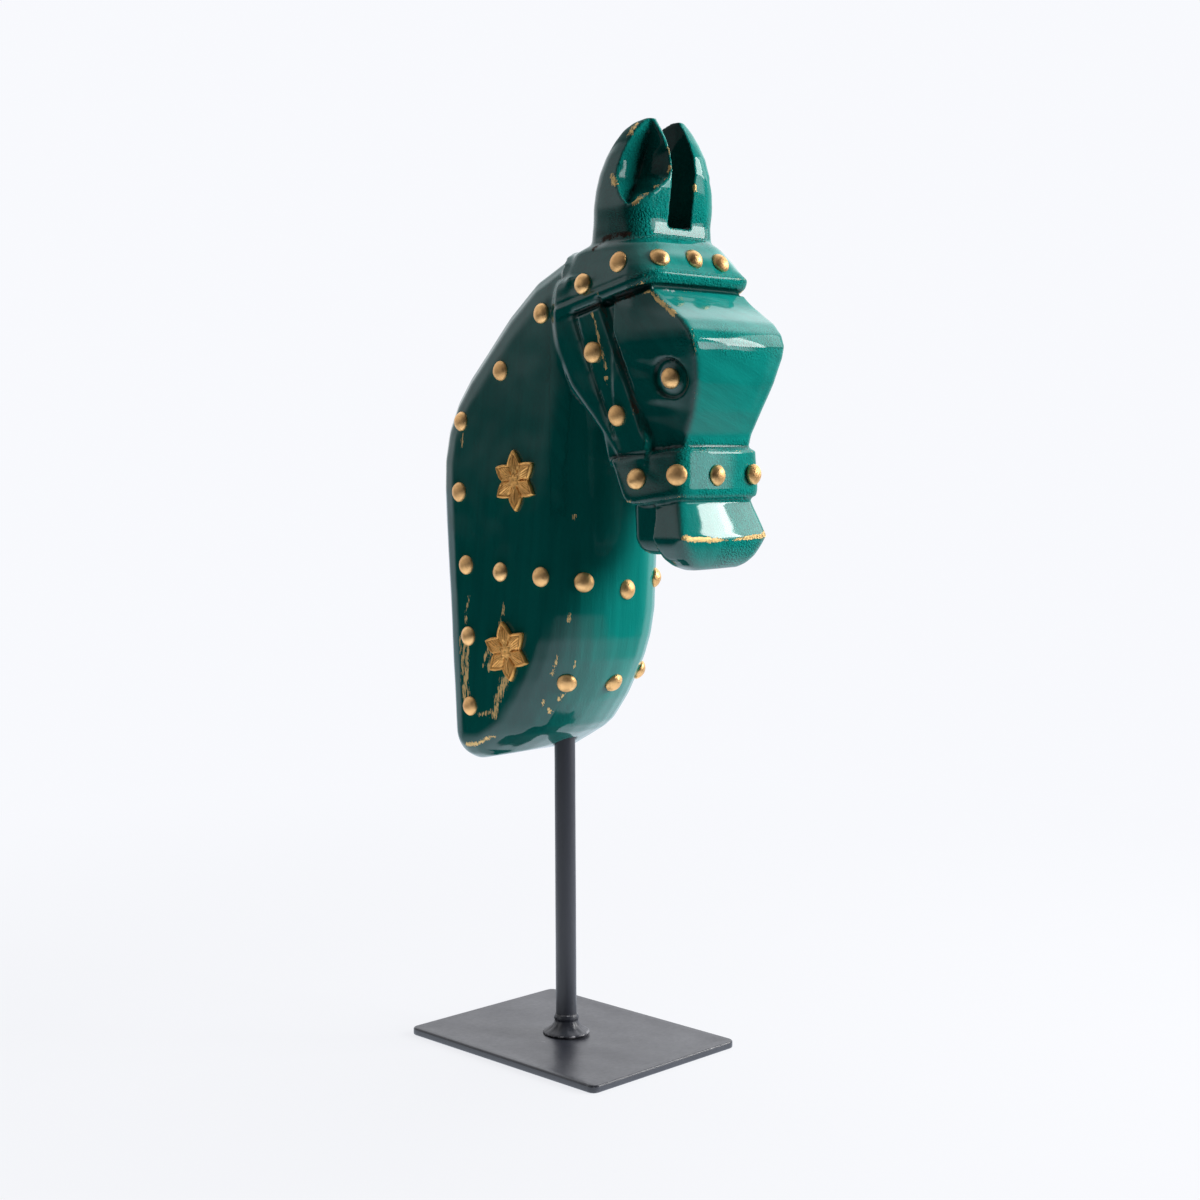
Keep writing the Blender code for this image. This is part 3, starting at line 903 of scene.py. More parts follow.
@dataclass(frozen=True)
class Mark:
    """One place where the paint is rubbed through or stained.

    Attributes:
        path: points along its middle, in millimetres.
        width: how far from the path it reaches, in millimetres.
        strength: 1 covers nearly all of it; less leaves more paint.
    """

    path: tuple[Spot, ...]
    width: float
    strength: float = 1.0


@dataclass
class Carving:
    """The horse's head and neck, cut from one block of wood and lacquered."""

    voxel: float = 0.0006
    facet_passes: int = 150
    most_triangles: int = 196_000
    # two corners, in metres, of the wood that closes the cut between the face and the cheek strap
    strap_web: tuple[Spot, Spot] = ((-0.0238, -0.0512, 0.2625), (0.0238, -0.0405, 0.284))
    wave_pitch: float = 22.0
    wave_height: float = 0.19
    chatter_pitch: float = 7.5
    chatter_height: float = 0.06
    # how much of the tools' swells is missing on the smooth forehead
    forehead_calm: float = 0.7
    # height, and how far the front falls back at its sides there
    crowns: tuple[Pair, ...] = (
        (180.0, 2.0), (206.0, 2.0), (212.0, 1.6), (226.0, 1.6), (231.0, 1.0), (262.0, 1.5),
        (280.0, 1.2), (288.0, 0.0),
    )
    crown_half_width: float = 22.0
    band_slope: float = 0.2316
    lip_line_depth: float = 0.32
    band_gap_depth: float = 0.8
    eye_seat: Pair = (-73.5, 251.2)
    eye_radius: float = 6.7
    eye_depth: float = 0.75
    # height, then crease, left rim and right rim, each as across and out of the ear's corner
    ear_cuts: tuple[tuple[float, Pair, Pair, Pair], ...] = (
        (343.4, (31.0, 42.6), (29.4, 44.6), (32.3, 44.6)),
        (338.0, (30.0, 40.6), (24.4, 45.0), (34.0, 45.0)),
        (333.0, (28.8, 39.4), (20.9, 46.0), (35.6, 46.0)),
        (327.5, (27.0, 39.0), (19.0, 46.0), (36.4, 46.0)),
        (322.0, (25.4, 40.2), (18.2, 46.0), (34.6, 46.0)),
        (316.5, (23.7, 42.8), (18.9, 49.0), (29.6, 49.0)),
        (313.0, (22.7, 46.4), (20.9, 52.0), (24.8, 52.0)),
        (311.4, (22.5, 51.5), (22.0, 54.0), (23.2, 54.0)),
    )
    # the strength of a groove is its depth in millimetres
    grooves: tuple[Mark, ...] = (
        Mark(((-27.4, -44.2, 279.2), (-26.4, -50.6, 263.5), (-25.6, -56.4, 250.0),
              (-24.8, -62.6, 234.0)), 1.0, 1.1),
        Mark(((-27.4, -31.8, 273.0), (-26.6, -38.6, 256.0), (-25.4, -46.0, 239.0)), 0.6, 0.35),
        Mark(((-24.9, -46.0, 224.6), (-24.4, -60.9, 225.3), (-21.0, -74.6, 226.4)), 0.7, 0.5),
    )
    # on the right side alone: low on the neck first, then higher up, the strap and the ears
    rubs: tuple[Mark, ...] = (
        Mark(((-27.5, 28.7, 156), (-27.6, 28.1, 146), (-27.7, 27.9, 134)), 3.6, 0.69),
        Mark(((-27.6, 3.5, 146), (-27.7, 9.0, 136), (-27.8, 11.8, 129.0)), 3.0, 0.69),
        Mark(((-27.8, 11.8, 129.7), (-27.8, 20.3, 127.4)), 1.3, 0.62),
        Mark(((-27.5, 14.8, 153.2), (-27.6, 14.1, 145.5)), 1.8, 0.66),
        Mark(((-27.6, 16.9, 150.4), (-27.6, 17.5, 146.4)), 1.4, 0.64),
        Mark(((-27.3, 6.7, 169), (-27.4, 8.8, 163)), 1.5, 0.66),
        Mark(((-27.3, 26.1, 172), (-27.4, 28.5, 162)), 1.3, 0.6),
        Mark(((-22.1, -23.6, 168), (-22.4, -22.7, 165)), 0.9, 0.8),
        Mark(((-23.3, -17.8, 152.6), (-22.9, -15.0, 145.7)), 1.1, 0.68),
        Mark(((-18.4, -22.4, 150.1), (-18.1, -21.4, 147.7)), 0.9, 0.8),
        Mark(((-18.0, -15.9, 138.0), (-18.4, -13.9, 135.3)), 1.3, 0.8),
        Mark(((-22.3, -9.7, 135.3), (-22.1, -8.4, 132.9)), 0.9, 0.8),
        Mark(((-20.0, -9.7, 131.8), (-18.9, -9.3, 129.9), (-18.7, -10.3, 131.0)), 0.9, 0.85),
        Mark(((-27.0, 28.4, 115.4), (-27.3, 21.5, 116.2), (-27.4, 15.0, 119.2),
              (-26.6, 9.5, 119.6)), 1.3, 0.9),
        Mark(((-26.5, 27.2, 241), (-26.5, 27.9, 237)), 1.0, 0.68),
        Mark(((-26.6, 29.3, 233), (-26.6, 30.1, 228)), 0.9, 0.68),
        Mark(((-21.4, -25.8, 203.5), (-22.0, -25.2, 202.4)), 0.8, 0.8),
        Mark(((-26.9, -40.6, 274.5), (-26.4, -43.3, 264.9), (-25.9, -46.1, 255.3)), 0.9, 0.72),
        Mark(((-25.7, -45.2, 251.8), (-25.7, -47.2, 251.9)), 1.0, 0.72),
        Mark(((-12.2, -48.0, 340.9), (-14.6, -47.3, 337.0)), 1.8, 0.9),
        Mark(((-19.8, -43.5, 322.6), (-20.5, -45.4, 319.7)), 1.9, 0.72),
        Mark(((6.3, -58.9, 319.9), (6.3, -58.9, 318.7)), 1.1, 1.1),
        Mark(((-20.8, -74.9, 226.3), (-20.6, -75.6, 226.2)), 1.0, 0.85),
    )
    # along the forehead, down the nose and along the upper lip
    worn_edges: tuple[Mark, ...] = (
        Mark(((-25.4, -62.0, 284.0), (-24.6, -65.8, 279.3), (-24.8, -76.1, 272.3),
              (-24.9, -77.4, 268.3), (-24.8, -79.5, 263.2)), 2.6, 0.95),
        Mark(((-24.2, -79.6, 261), (-22.8, -78.4, 254), (-21.8, -75.4, 246),
              (-20.8, -72.4, 238)), 3.2, 1.25),
        Mark(((-21.7, -79.2, 197.0), (-12.8, -80.6, 196.0), (0.0, -80.9, 194.4),
              (12.8, -80.6, 196.0), (21.7, -79.2, 197.0)), 1.5, 1.5),
    )
    # on the right ear alone
    ear_rims: tuple[Mark, ...] = (
        Mark(((-20.0, -54.5, 312.3), (-11.5, -57.1, 318.9), (-7.3, -58.7, 325.3)), 1.7, 1.0),
        Mark(((-6.1, -57.8, 332), (-6.7, -58.7, 329)), 1.0, 0.8),
    )
    # a painted highlight: pale sheen at the forehead's top corner, under the brow band
    chips: tuple[Mark, ...] = (
        Mark(((-24.4, -66.3, 283.0), (-20.0, -67.2, 282.4), (-14.5, -67.4, 282.0)), 1.9, 0.75),
    )
    # under the brow band, in the cuts beside the strap and at the foot of the ear
    stains: tuple[Mark, ...] = (
        Mark(((-26.9, -38.0, 276.3), (-26.8, -46.0, 278.0), (-26.6, -54.0, 279.7)), 1.6, 0.9),
        Mark(((-26.6, -50.0, 278.6), (-26.2, -56.0, 279.9), (-26.0, -61.5, 281.6)), 2.6, 0.95),
        Mark(((-26.8, -44.9, 277.0), (-26.4, -50.6, 263.5), (-25.6, -56.4, 250.0),
              (-25.1, -60.0, 240.0)), 2.1, 1.0),
        Mark(((-27.4, -31.8, 272.0), (-26.7, -37.2, 258.0)), 1.2, 0.9),
        Mark(((-24.3, -38.5, 297.3), (-22.0, -41.5, 300.6), (-22.0, -47.4, 301.6),
              (-20.9, -52.6, 301.5)), 1.7, 1.0),
    )

    def build(self, material: bpy.types.Material) -> bpy.types.Object:
        """Makes the whole carving and dresses it.

        Args:
            material: the lacquer.

        Returns:
            The finished piece.
        """
        block = self._block()
        skin = Skin(block.data)
        hard = skin.widened(skin.creases(0.022, 0.05), 2)
        skin.even_out(1.0 - skin.blurred(hard, 2), self.facet_passes)
        skin.soften(2, 0.4)
        self._crown(skin)
        self._tool_waves(skin)
        self._band_lip(skin)
        self._eye_sockets(skin)
        self._grooves(skin)
        skin.places += 0.5 * (skin.places - skin.blurred(skin.places, 4))
        skin.soften(1, 0.4)
        low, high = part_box("horse_head")
        skin.places = np.clip(skin.places, np.array(low) / MM, np.array(high) / MM)
        skin.store()
        self._masks(skin)
        item = self._thinned(block)
        return settle(item, material, ["horse_head"])

    def _block(self) -> bpy.types.Object:
        """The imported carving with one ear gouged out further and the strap's cut closed.

        Returns:
            An even, fine mesh, in metres.
        """
        bm = bmesh.new()
        bm.from_mesh(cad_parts["horse_head"].data)
        bmesh.ops.remove_doubles(bm, verts=bm.verts, dist=1e-6)
        rough = new_object("carving_block", bm)
        tools = [(self._ear_gouge(), "DIFFERENCE"), (self._strap_web(), "UNION")]
        for tool, operation in tools:
            cut = rough.modifiers.new(tool.name, "BOOLEAN")
            cut.operation = operation
            cut.object = tool
            cut.solver = "EXACT"
        remesh = rough.modifiers.new("even", "REMESH")
        remesh.mode = "VOXEL"
        remesh.voxel_size = self.voxel
        remesh.use_smooth_shade = True
        block = applied(rough, "carving_skin")
        for tool, _ in tools:
            bpy.data.objects.remove(tool)
        return block

    def _strap_web(self) -> bpy.types.Object:
        """A block that leaves no way to see through the cut beside the cheek strap.

        Returns:
            The block, which is joined to the carving.
        """
        low, high = (Vector(corner) for corner in self.strap_web)
        bm = bmesh.new()
        place = Matrix.Translation((low + high) / 2) @ Matrix.Diagonal((*(high - low), 1))
        bmesh.ops.create_cube(bm, size=1, matrix=place)
        return new_object("strap_web", bm)

    def _ear_gouge(self) -> bpy.types.Object:
        """The gouge that takes the right ear's hollow down to a sharp lower end.

        Returns:
            The gouge, which is taken off the carving.
        """
        bm = bmesh.new()
        loops = []
        for level, crease, left, right in self.ear_cuts:
            out = 60.0
            rim = [crease, (left[0] + (left[0] - crease[0]) * (out - left[1])
                            / (left[1] - crease[1]), out),
                   (right[0] + (right[0] - crease[0]) * (out - right[1])
                    / (right[1] - crease[1]), out)]
            ring = [bm.verts.new(((across - ahead) * math.sqrt(0.5) * MM,
                                  (-across - ahead) * math.sqrt(0.5) * MM, level * MM))
                    for across, ahead in rim]
            loops.append([bm.edges.new(pair) for pair in zip(ring, ring[1:] + ring[:1])])
        for first, last in zip(loops, loops[1:]):
            bmesh.ops.bridge_loops(bm, edges=first + last)
        for end in (loops[0], loops[-1]):
            bmesh.ops.contextual_create(bm, geom=end)
        return new_object("ear_gouge", bm)

    def _thinned(self, block: bpy.types.Object) -> bpy.types.Object:
        """The same skin with fewer triangles where it is plain.

        Args:
            block: the skin with its masks, which is removed.

        Returns:
            The piece, whose edges and marks keep their detail.
        """
        skin = Skin(block.data)
        detail = smoothstep(np.abs(skin.bulge(4)), 0.03, 0.2)
        for name in ("rub", "edge_rub", "stain", "hollow"):
            values = np.empty(skin.count, np.float32)
            block.data.attributes[name].data.foreach_get("value", values)
            detail = np.maximum(detail, smoothstep(values, 0.25, 0.6))
        group = block.vertex_groups.new(name="plain")
        levels = np.round(1.0 - skin.widened(detail, 1), 1)
        for level in np.unique(levels):
            rows = np.nonzero(levels == level)[0]
            group.add(rows.tolist(), float(level), "REPLACE")
        thin = block.modifiers.new("thin", "DECIMATE")
        faces = sum(len(polygon.vertices) - 2 for polygon in block.data.polygons)
        thin.ratio = self.most_triangles / faces
        thin.vertex_group = "plain"
        thin.vertex_group_factor = 1.0
        return applied(block, "carved_wood")

    def _crown(self, skin: Skin) -> None:
        """Bows the front of the face, so that it falls back towards its two sides.

        Args:
            skin: the surface.
        """
        heights, falls = zip(*self.crowns)
        fall = np.interp(skin.places[:, 2], heights, falls)
        ahead = smoothstep(skin.places[:, 1], -58.0, -72.0)
        skin.places[:, 1] += fall * (skin.places[:, 0] / self.crown_half_width) ** 2 * ahead

    def _grooves(self, skin: Skin) -> None:
        """Cuts the narrow lines beside the straps and above the noseband.

        Args:
            skin: the surface.
        """
        normals = skin.normals()
        for groove in self.grooves:
            for path in both_sides(groove.path):
                shape = np.exp(-(skin.distance(path) / groove.width) ** 2)
                skin.places -= normals * (groove.strength * shape)[:, None]

    def _tool_waves(self, skin: Skin) -> None:
        """Presses the uneven swells of hand tools and thick paint into the surface.

        Args:
            skin: the surface.
        """
        normals = skin.normals()
        height = self.wave_height * ripple(skin.places, self.wave_pitch, 3.1)
        height += self.chatter_height * ripple(skin.places, self.chatter_pitch, 8.4)
        calm = smoothstep(skin.places[:, 2], 256.0, 266.0) * (skin.places[:, 1] < -56.0)
        skin.places += normals * (height * (1.0 - self.forehead_calm * calm))[:, None]

    def _band_level(self, places: np.ndarray) -> np.ndarray:
        """Height of each place above the brow band's lower edge."""
        return places[:, 2] + self.band_slope * (places[:, 1] + 66.0) - 283.4

    def _band_lip(self, skin: Skin) -> None:
        """Cuts the line above the brow band's rolled lower lip and the gap under it.

        Args:
            skin: the surface.
        """
        normals = skin.normals()
        level = self._band_level(skin.places)
        ahead = smoothstep(skin.places[:, 1], -17.0, -20.0)
        upright = smoothstep(np.abs(normals[:, 2]), 0.75, 0.5)
        line = self.lip_line_depth * np.exp(-((level - 4.6) / 0.8) ** 2)
        skin.places -= normals * (line * ahead * upright)[:, None]
        skin.places -= normals * (self.band_gap_depth * self._band_gap(skin))[:, None]

    def _band_gap(self, skin: Skin) -> np.ndarray:
        """How near each vertex is to the thin gap under the brow band.

        Args:
            skin: the surface.

        Returns:
            Numbers from 0 to 1.
        """
        level = self._band_level(skin.places)
        ahead = smoothstep(skin.places[:, 1], -28.0, -34.0)
        near = smoothstep(level, -2.1, -1.3) * smoothstep(level, 0.5, -0.1)
        return near * ahead * (skin.places[:, 2] > 272.0)

    def _eye_offset(self, skin: Skin) -> np.ndarray:
        """Distance of each vertex from the middle of its side's eye.

        Args:
            skin: the surface.

        Returns:
            The distances in millimetres, and 99 between the two sides of the face.
        """
        across = np.hypot(skin.places[:, 1] - self.eye_seat[0],
                          skin.places[:, 2] - self.eye_seat[1])
        return np.where(np.abs(skin.places[:, 0]) > 17.0, across, 99.0)

    def _eye_sockets(self, skin: Skin) -> None:
        """Sinks a flat round socket around each eye.

        Args:
            skin: the surface.
        """
        offset = self._eye_offset(skin)
        sunk = smoothstep(offset, self.eye_radius + 0.45, self.eye_radius - 0.45)
        sunk *= smoothstep(offset, 3.0, 5.2)
        skin.places -= skin.normals() * (self.eye_depth * sunk)[:, None]

    def _regions(self, skin: Skin, normals: np.ndarray) -> np.ndarray:
        """The carved part that each vertex belongs to.

        Args:
            skin: the surface.
            normals: its normals.

        Returns:
            The number of each vertex's Region.
        """
        x, y, z = np.abs(skin.places[:, 0]), skin.places[:, 1], skin.places[:, 2]
        level = self._band_level(skin.places)
        head = (y < -18.0) & (z > 205.0) & (level < 0.0)
        head &= ~((y > -44.0) & (z < 262.0) & (x < 24.0))
        region = np.full(skin.count, Region.NECK.value)
        region[head] = Region.CHEEK.value
        front = head & (y < -60.0) & (normals[:, 1] < -0.5)
        region[front & (z > 262.0)] = Region.FOREHEAD.value
        region[front & (z <= 262.0)] = Region.NOSE.value
        band = z + 0.1 * (y + 78.0)
        low = (y < -44.0) & (z > 184.0)
        region[low & (band < 228.2)] = Region.NOSEBAND.value
        region[low & (band < 209.4)] = Region.MUZZLE.value
        region[(level >= -0.2) & (y < -17.0) & (z > 270.0)] = Region.BAND.value
        region[(z > 302.3)] = Region.EARS.value
        return region

    def _masks(self, skin: Skin) -> None:
        """Paints every mask that the lacquer reads.

        Args:
            skin: the surface.
        """
        normals = skin.normals()
        region = self._regions(skin, normals)
        bulge = skin.bulge(8)
        inner = (skin.places[:, 2] > 312.0) & (np.abs(skin.places[:, 0] + 10.0) < 6.0)
        inner &= normals[:, 0] < -0.4
        skin.paint("dull", self._dulled(skin, region, inner))
        skin.paint("hollow", self._hollows(skin, normals, bulge, inner))
        skin.paint("rub", 0.9 * self._covered(skin, self.rubs))
        skin.paint("stain", self._covered(skin, self.stains, mirrored=True))
        # the painted highlight under the brow band
        skin.paint("painted_sheen", self._covered(skin, self.chips))
        skin.paint("edge_rub", self._edge_rub(skin, bulge))
        skin.paint("stroke", self._strokes(skin, region))
        skin.paint("wrinkle", self._wrinkled(skin, region, normals, bulge))

    def _hollows(self, skin: Skin, normals: np.ndarray, bulge: np.ndarray,
                 inner: np.ndarray) -> np.ndarray:
        """Where the paint is darkened, partly as grime and partly as painted shade: in hollows,
        cuts, the slot between the ears, the sockets, the gap under the brow band and the right
        ear's inner wall.

        Args:
            skin: the surface.
            normals: its normals.
            bulge: its signed curvature.
            inner: whether each vertex lies on the right ear's inner wall.

        Returns:
            How deep in a hollow each vertex is, from 0 to 1.
        """
        slot = (np.abs(skin.places[:, 0]) < 6.1) & (skin.places[:, 2] > 305.0)
        slot &= np.abs(normals[:, 0]) > 0.6
        eye = np.exp(-((self._eye_offset(skin) - self.eye_radius) / 0.5) ** 2)
        # painted shade in the slot, on the ear's inner wall, round the eyes and in the band's
        # gap; grime and painted shade in the other hollows
        hollow = np.maximum.reduce([smoothstep(bulge, -0.06, -0.26), 0.8 * slot, 0.35 * inner,
                                    eye, self._band_gap(skin)])
        for groove in self.grooves:
            for path in both_sides(groove.path):
                line = np.exp(-(skin.distance(path) / (groove.width * 1.1)) ** 2)
                hollow = np.maximum(hollow, line)
        return skin.blurred(hollow, 2)

    def _edge_rub(self, skin: Skin, bulge: np.ndarray) -> np.ndarray:
        """Where hands have rubbed the ridges down to the gilding.

        Args:
            skin: the surface.
            bulge: its signed curvature.

        Returns:
            How much each vertex is rubbed, from 0 upwards.
        """
        height = skin.places[:, 2]
        from_eye = self._eye_offset(skin)
        zones = np.maximum(self._covered(skin, self.worn_edges, mirrored=True),
                           self._covered(skin, self.ear_rims))
        zones *= smoothstep(from_eye, 7.6, 8.6)
        on_lip = smoothstep(bulge, 0.02, 0.05)
        elsewhere = smoothstep(bulge, 0.015, 0.09)
        zones *= np.where(height < 200.0, on_lip, elsewhere)
        everywhere = 0.16 + 0.24 * ripple(skin.places, 14.0, 21.0)
        everywhere *= smoothstep(from_eye, 7.0, 10.0)
        everywhere *= smoothstep(height, 312.0, 300.0) * 0.8 + 0.2
        return np.maximum(zones, smoothstep(bulge, 0.05, 0.19) * everywhere)

    def _wrinkled(self, skin: Skin, region: np.ndarray, normals: np.ndarray,
                  bulge: np.ndarray) -> np.ndarray:
        """Where the thick paint has dried in wrinkles.

        Args:
            skin: the surface.
            region: which carved part each vertex belongs to.
            normals: the surface's normals.
            bulge: its signed curvature.

        Returns:
            How wrinkled each vertex is, from 0 to 1.
        """
        leathery = {Region.NECK: 0.04, Region.BAND: 0.08, Region.EARS: 0.28,
                    Region.FOREHEAD: 0.10, Region.CHEEK: 0.04, Region.NOSE: 0.03,
                    Region.NOSEBAND: 0.5, Region.MUZZLE: 0.14}
        plain = np.array([leathery[kind] for kind in Region])[region]
        x, y, z = skin.places.T
        level = self._band_level(skin.places)
        brow = np.exp(-((z - 264.0) / 5.0) ** 2) * (y < -78.0)
        brow *= 0.5 + 0.5 * smoothstep(x, -16.0, -8.0)
        poll = smoothstep(z, 297.0, 302.0) * (z < 310.0) * (y < -44.0)
        lip = smoothstep(level, 5.6, 4.2) * (region == Region.BAND.value) * (y < -58.0)
        snout = (region == Region.MUZZLE.value) * smoothstep(x, -8.0, 1.0) * (y < -70.0)
        shelf = np.exp(-((z - 228.0) / 2.5) ** 2) * (y < -66.0)
        ear = (z > 312.0) * (x < -5.0) * (bulge < 0.02) * (normals[:, 1] < -0.5)
        amount = np.maximum.reduce([plain, brow, poll, 0.7 * lip, 0.9 * snout, 0.9 * shelf,
                                    0.7 * ear])
        amount *= 0.8 + 0.5 * ripple(skin.places, 9.0, 33.0)
        return np.clip(skin.blurred(amount, 3), 0.0, 1.0)

    def _dulled(self, skin: Skin, region: np.ndarray, inner: np.ndarray) -> np.ndarray:
        """Where the lacquer's gloss has gone flat.

        Args:
            skin: the surface.
            region: which carved part each vertex belongs to.
            inner: whether each vertex lies on the right ear's inner wall.

        Returns:
            How dull each vertex is, from 0 to 1.
        """
        x, y, z = skin.places.T
        under_band = smoothstep(self._band_level(skin.places), -14.0, -5.0)
        under_band *= (y < -58.0) & (z < 290.0)
        brow = np.exp(-((z - 264.0) / 7.0) ** 2) * (y < -74.0) * smoothstep(x, -20.0, -10.0)
        poll = smoothstep(z, 295.0, 299.0) * smoothstep(z, 313.0, 308.0) * (y < -44.0)
        noseband = (region == Region.NOSEBAND.value) * smoothstep(y, -62.0, -70.0)
        left_ear = (region == Region.EARS.value) * (x > 4.0) * (y < -50.0)
        parts = (0.85 * inner, 0.9 * under_band, 0.55 * brow, 0.55 * poll, 0.6 * noseband,
                 0.55 * left_ear)
        return skin.blurred(np.maximum.reduce(parts), 3)

    def _covered(self, skin: Skin, marks: Iterable[Mark], mirrored: bool = False) -> np.ndarray:
        """How strongly marks cover each vertex.

        Args:
            skin: the surface.
            marks: marks on the right side of the horse.
            mirrored: whether the left side has them as well.

        Returns:
            The strongest mark's cover, from 0 upwards.
        """
        cover = np.zeros(skin.count)
        for mark in marks:
            for path in both_sides(mark.path) if mirrored else (mark.path,):
                near = np.clip(1.5 * (1.0 - skin.distance(path) / mark.width), 0.0, 1.0)
                cover = np.maximum(cover, mark.strength * near)
        return cover

    def _strokes(self, skin: Skin, region: np.ndarray) -> np.ndarray:
        """Coordinates that are drawn out along the brush strokes of each region.

        Args:
            skin: the surface.
            region: which carved part each vertex belongs to.

        Returns:
            Rows of x, y and z, in millimetres.
        """
        # direction of the brush and how many times longer than wide its lines are
        ways = {Region.NECK: ((0.0, -0.12, 1.0), 16.0), Region.BAND: ((0.55, -0.2, -0.8), 9.0),
                Region.EARS: ((0.1, -0.3, 1.0), 5.0), Region.FOREHEAD: ((0.8, -0.35, -0.5), 10.0),
                Region.CHEEK: ((0.0, -0.6, -0.8), 10.0), Region.NOSE: ((0.9, 0.0, -0.35), 10.0),
                Region.NOSEBAND: ((0.6, -0.6, 0.0), 3.0), Region.MUZZLE: ((0.2, 0.0, -1.0), 5.0)}
        lines = skin.places.copy()
        for kind, (way, length) in ways.items():
            inside = region == kind.value
            along = np.array(way) / np.linalg.norm(way)
            reach = lines[inside] @ along
            lines[inside] -= np.outer(reach * (1.0 - 1.0 / length), along)
        return lines


# Brass trim

@dataclass
class Nails:
    """The brass nails with domed heads, hammered in by hand."""

    radius: float = 0.00375
    height: float = 0.0021
    skirt: float = 0.0011
    rings: int = 7
    sides: int = 28
    uneven: float = 0.045

    def build(self, material: bpy.types.Material) -> list[bpy.types.Object]:
        """Makes a head for each packed nail.

        Args:
            material: the brass.

        Returns:
            The finished pieces.
        """
        made = []
        nodes = sorted(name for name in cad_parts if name.startswith("stud_"))
        for number, node in enumerate(nodes):
            item = new_object(f"nail_{node[5:]}", self._head(number))
            self._shade(item, number)
            item.data.transform(node_frame(node))
            made.append(settle(item, material, [node]))
        return made

    def _shade(self, item: bpy.types.Object, number: int) -> None:
        """Paints the brown film in the middle of a head, which differs from nail to nail.

        Args:
            item: the head, still at the origin.
            number: the nail's place in the row of nails.
        """
        skin = Skin(item.data)
        reach = np.hypot(skin.places[:, 0], skin.places[:, 1]) * MM / self.radius
        depth = 0.38 + 0.35 * noise.noise(Vector((number * 1.9, 4.0, 0)))
        skin.paint("recess", depth * np.exp(-(reach / 0.5) ** 2))

    def _head(self, number: int) -> bmesh.types.BMesh:
        """One head, spun from its profile and then dented.

        Args:
            number: the nail's place in the row of nails, which seeds its dents.

        Returns:
            The mesh, with its flat back on the XY plane.
        """
        bm = bmesh.new()
        sphere = (self.radius ** 2 + self.height ** 2) / (2 * self.height)
        sweep = math.asin(min(1.0, self.radius / sphere))
        profile = [(0.0, -self.skirt), (self.radius * 0.93, -self.skirt)]
        for ring in range(self.rings + 1):
            angle = sweep * (1 - ring / self.rings)
            profile.append((sphere * math.sin(angle),
                            self.height - sphere * (1 - math.cos(angle))))
        verts = [bm.verts.new((radius, 0, level)) for radius, level in profile]
        edges = [bm.edges.new(pair) for pair in zip(verts, verts[1:])]
        bmesh.ops.spin(bm, geom=verts + edges, cent=(0, 0, 0), axis=(0, 0, 1),
                       angle=math.tau, steps=self.sides, use_merge=True)
        bmesh.ops.remove_doubles(bm, verts=bm.verts, dist=1e-6)
        shift = Vector((number * 3.7, number * 1.3, 0))
        flat = noise.noise(shift * 0.9)
        for vert in bm.verts:
            reach = vert.co.xy.length / self.radius
            turn = Vector((vert.co.x, vert.co.y, 0)).normalized()
            wobble = noise.noise(turn * 1.1 + shift)
            pull = 1 + self.uneven * reach * (wobble - 0.35)
            vert.co.x *= pull
            vert.co.y *= pull
            if vert.co.z > 0:
                dent = noise.noise(vert.co / self.radius * 1.3 + shift * 2)
                vert.co.z *= 1 + 0.07 * dent - 0.10 * max(0.0, flat) * (1 - reach)
        return bm


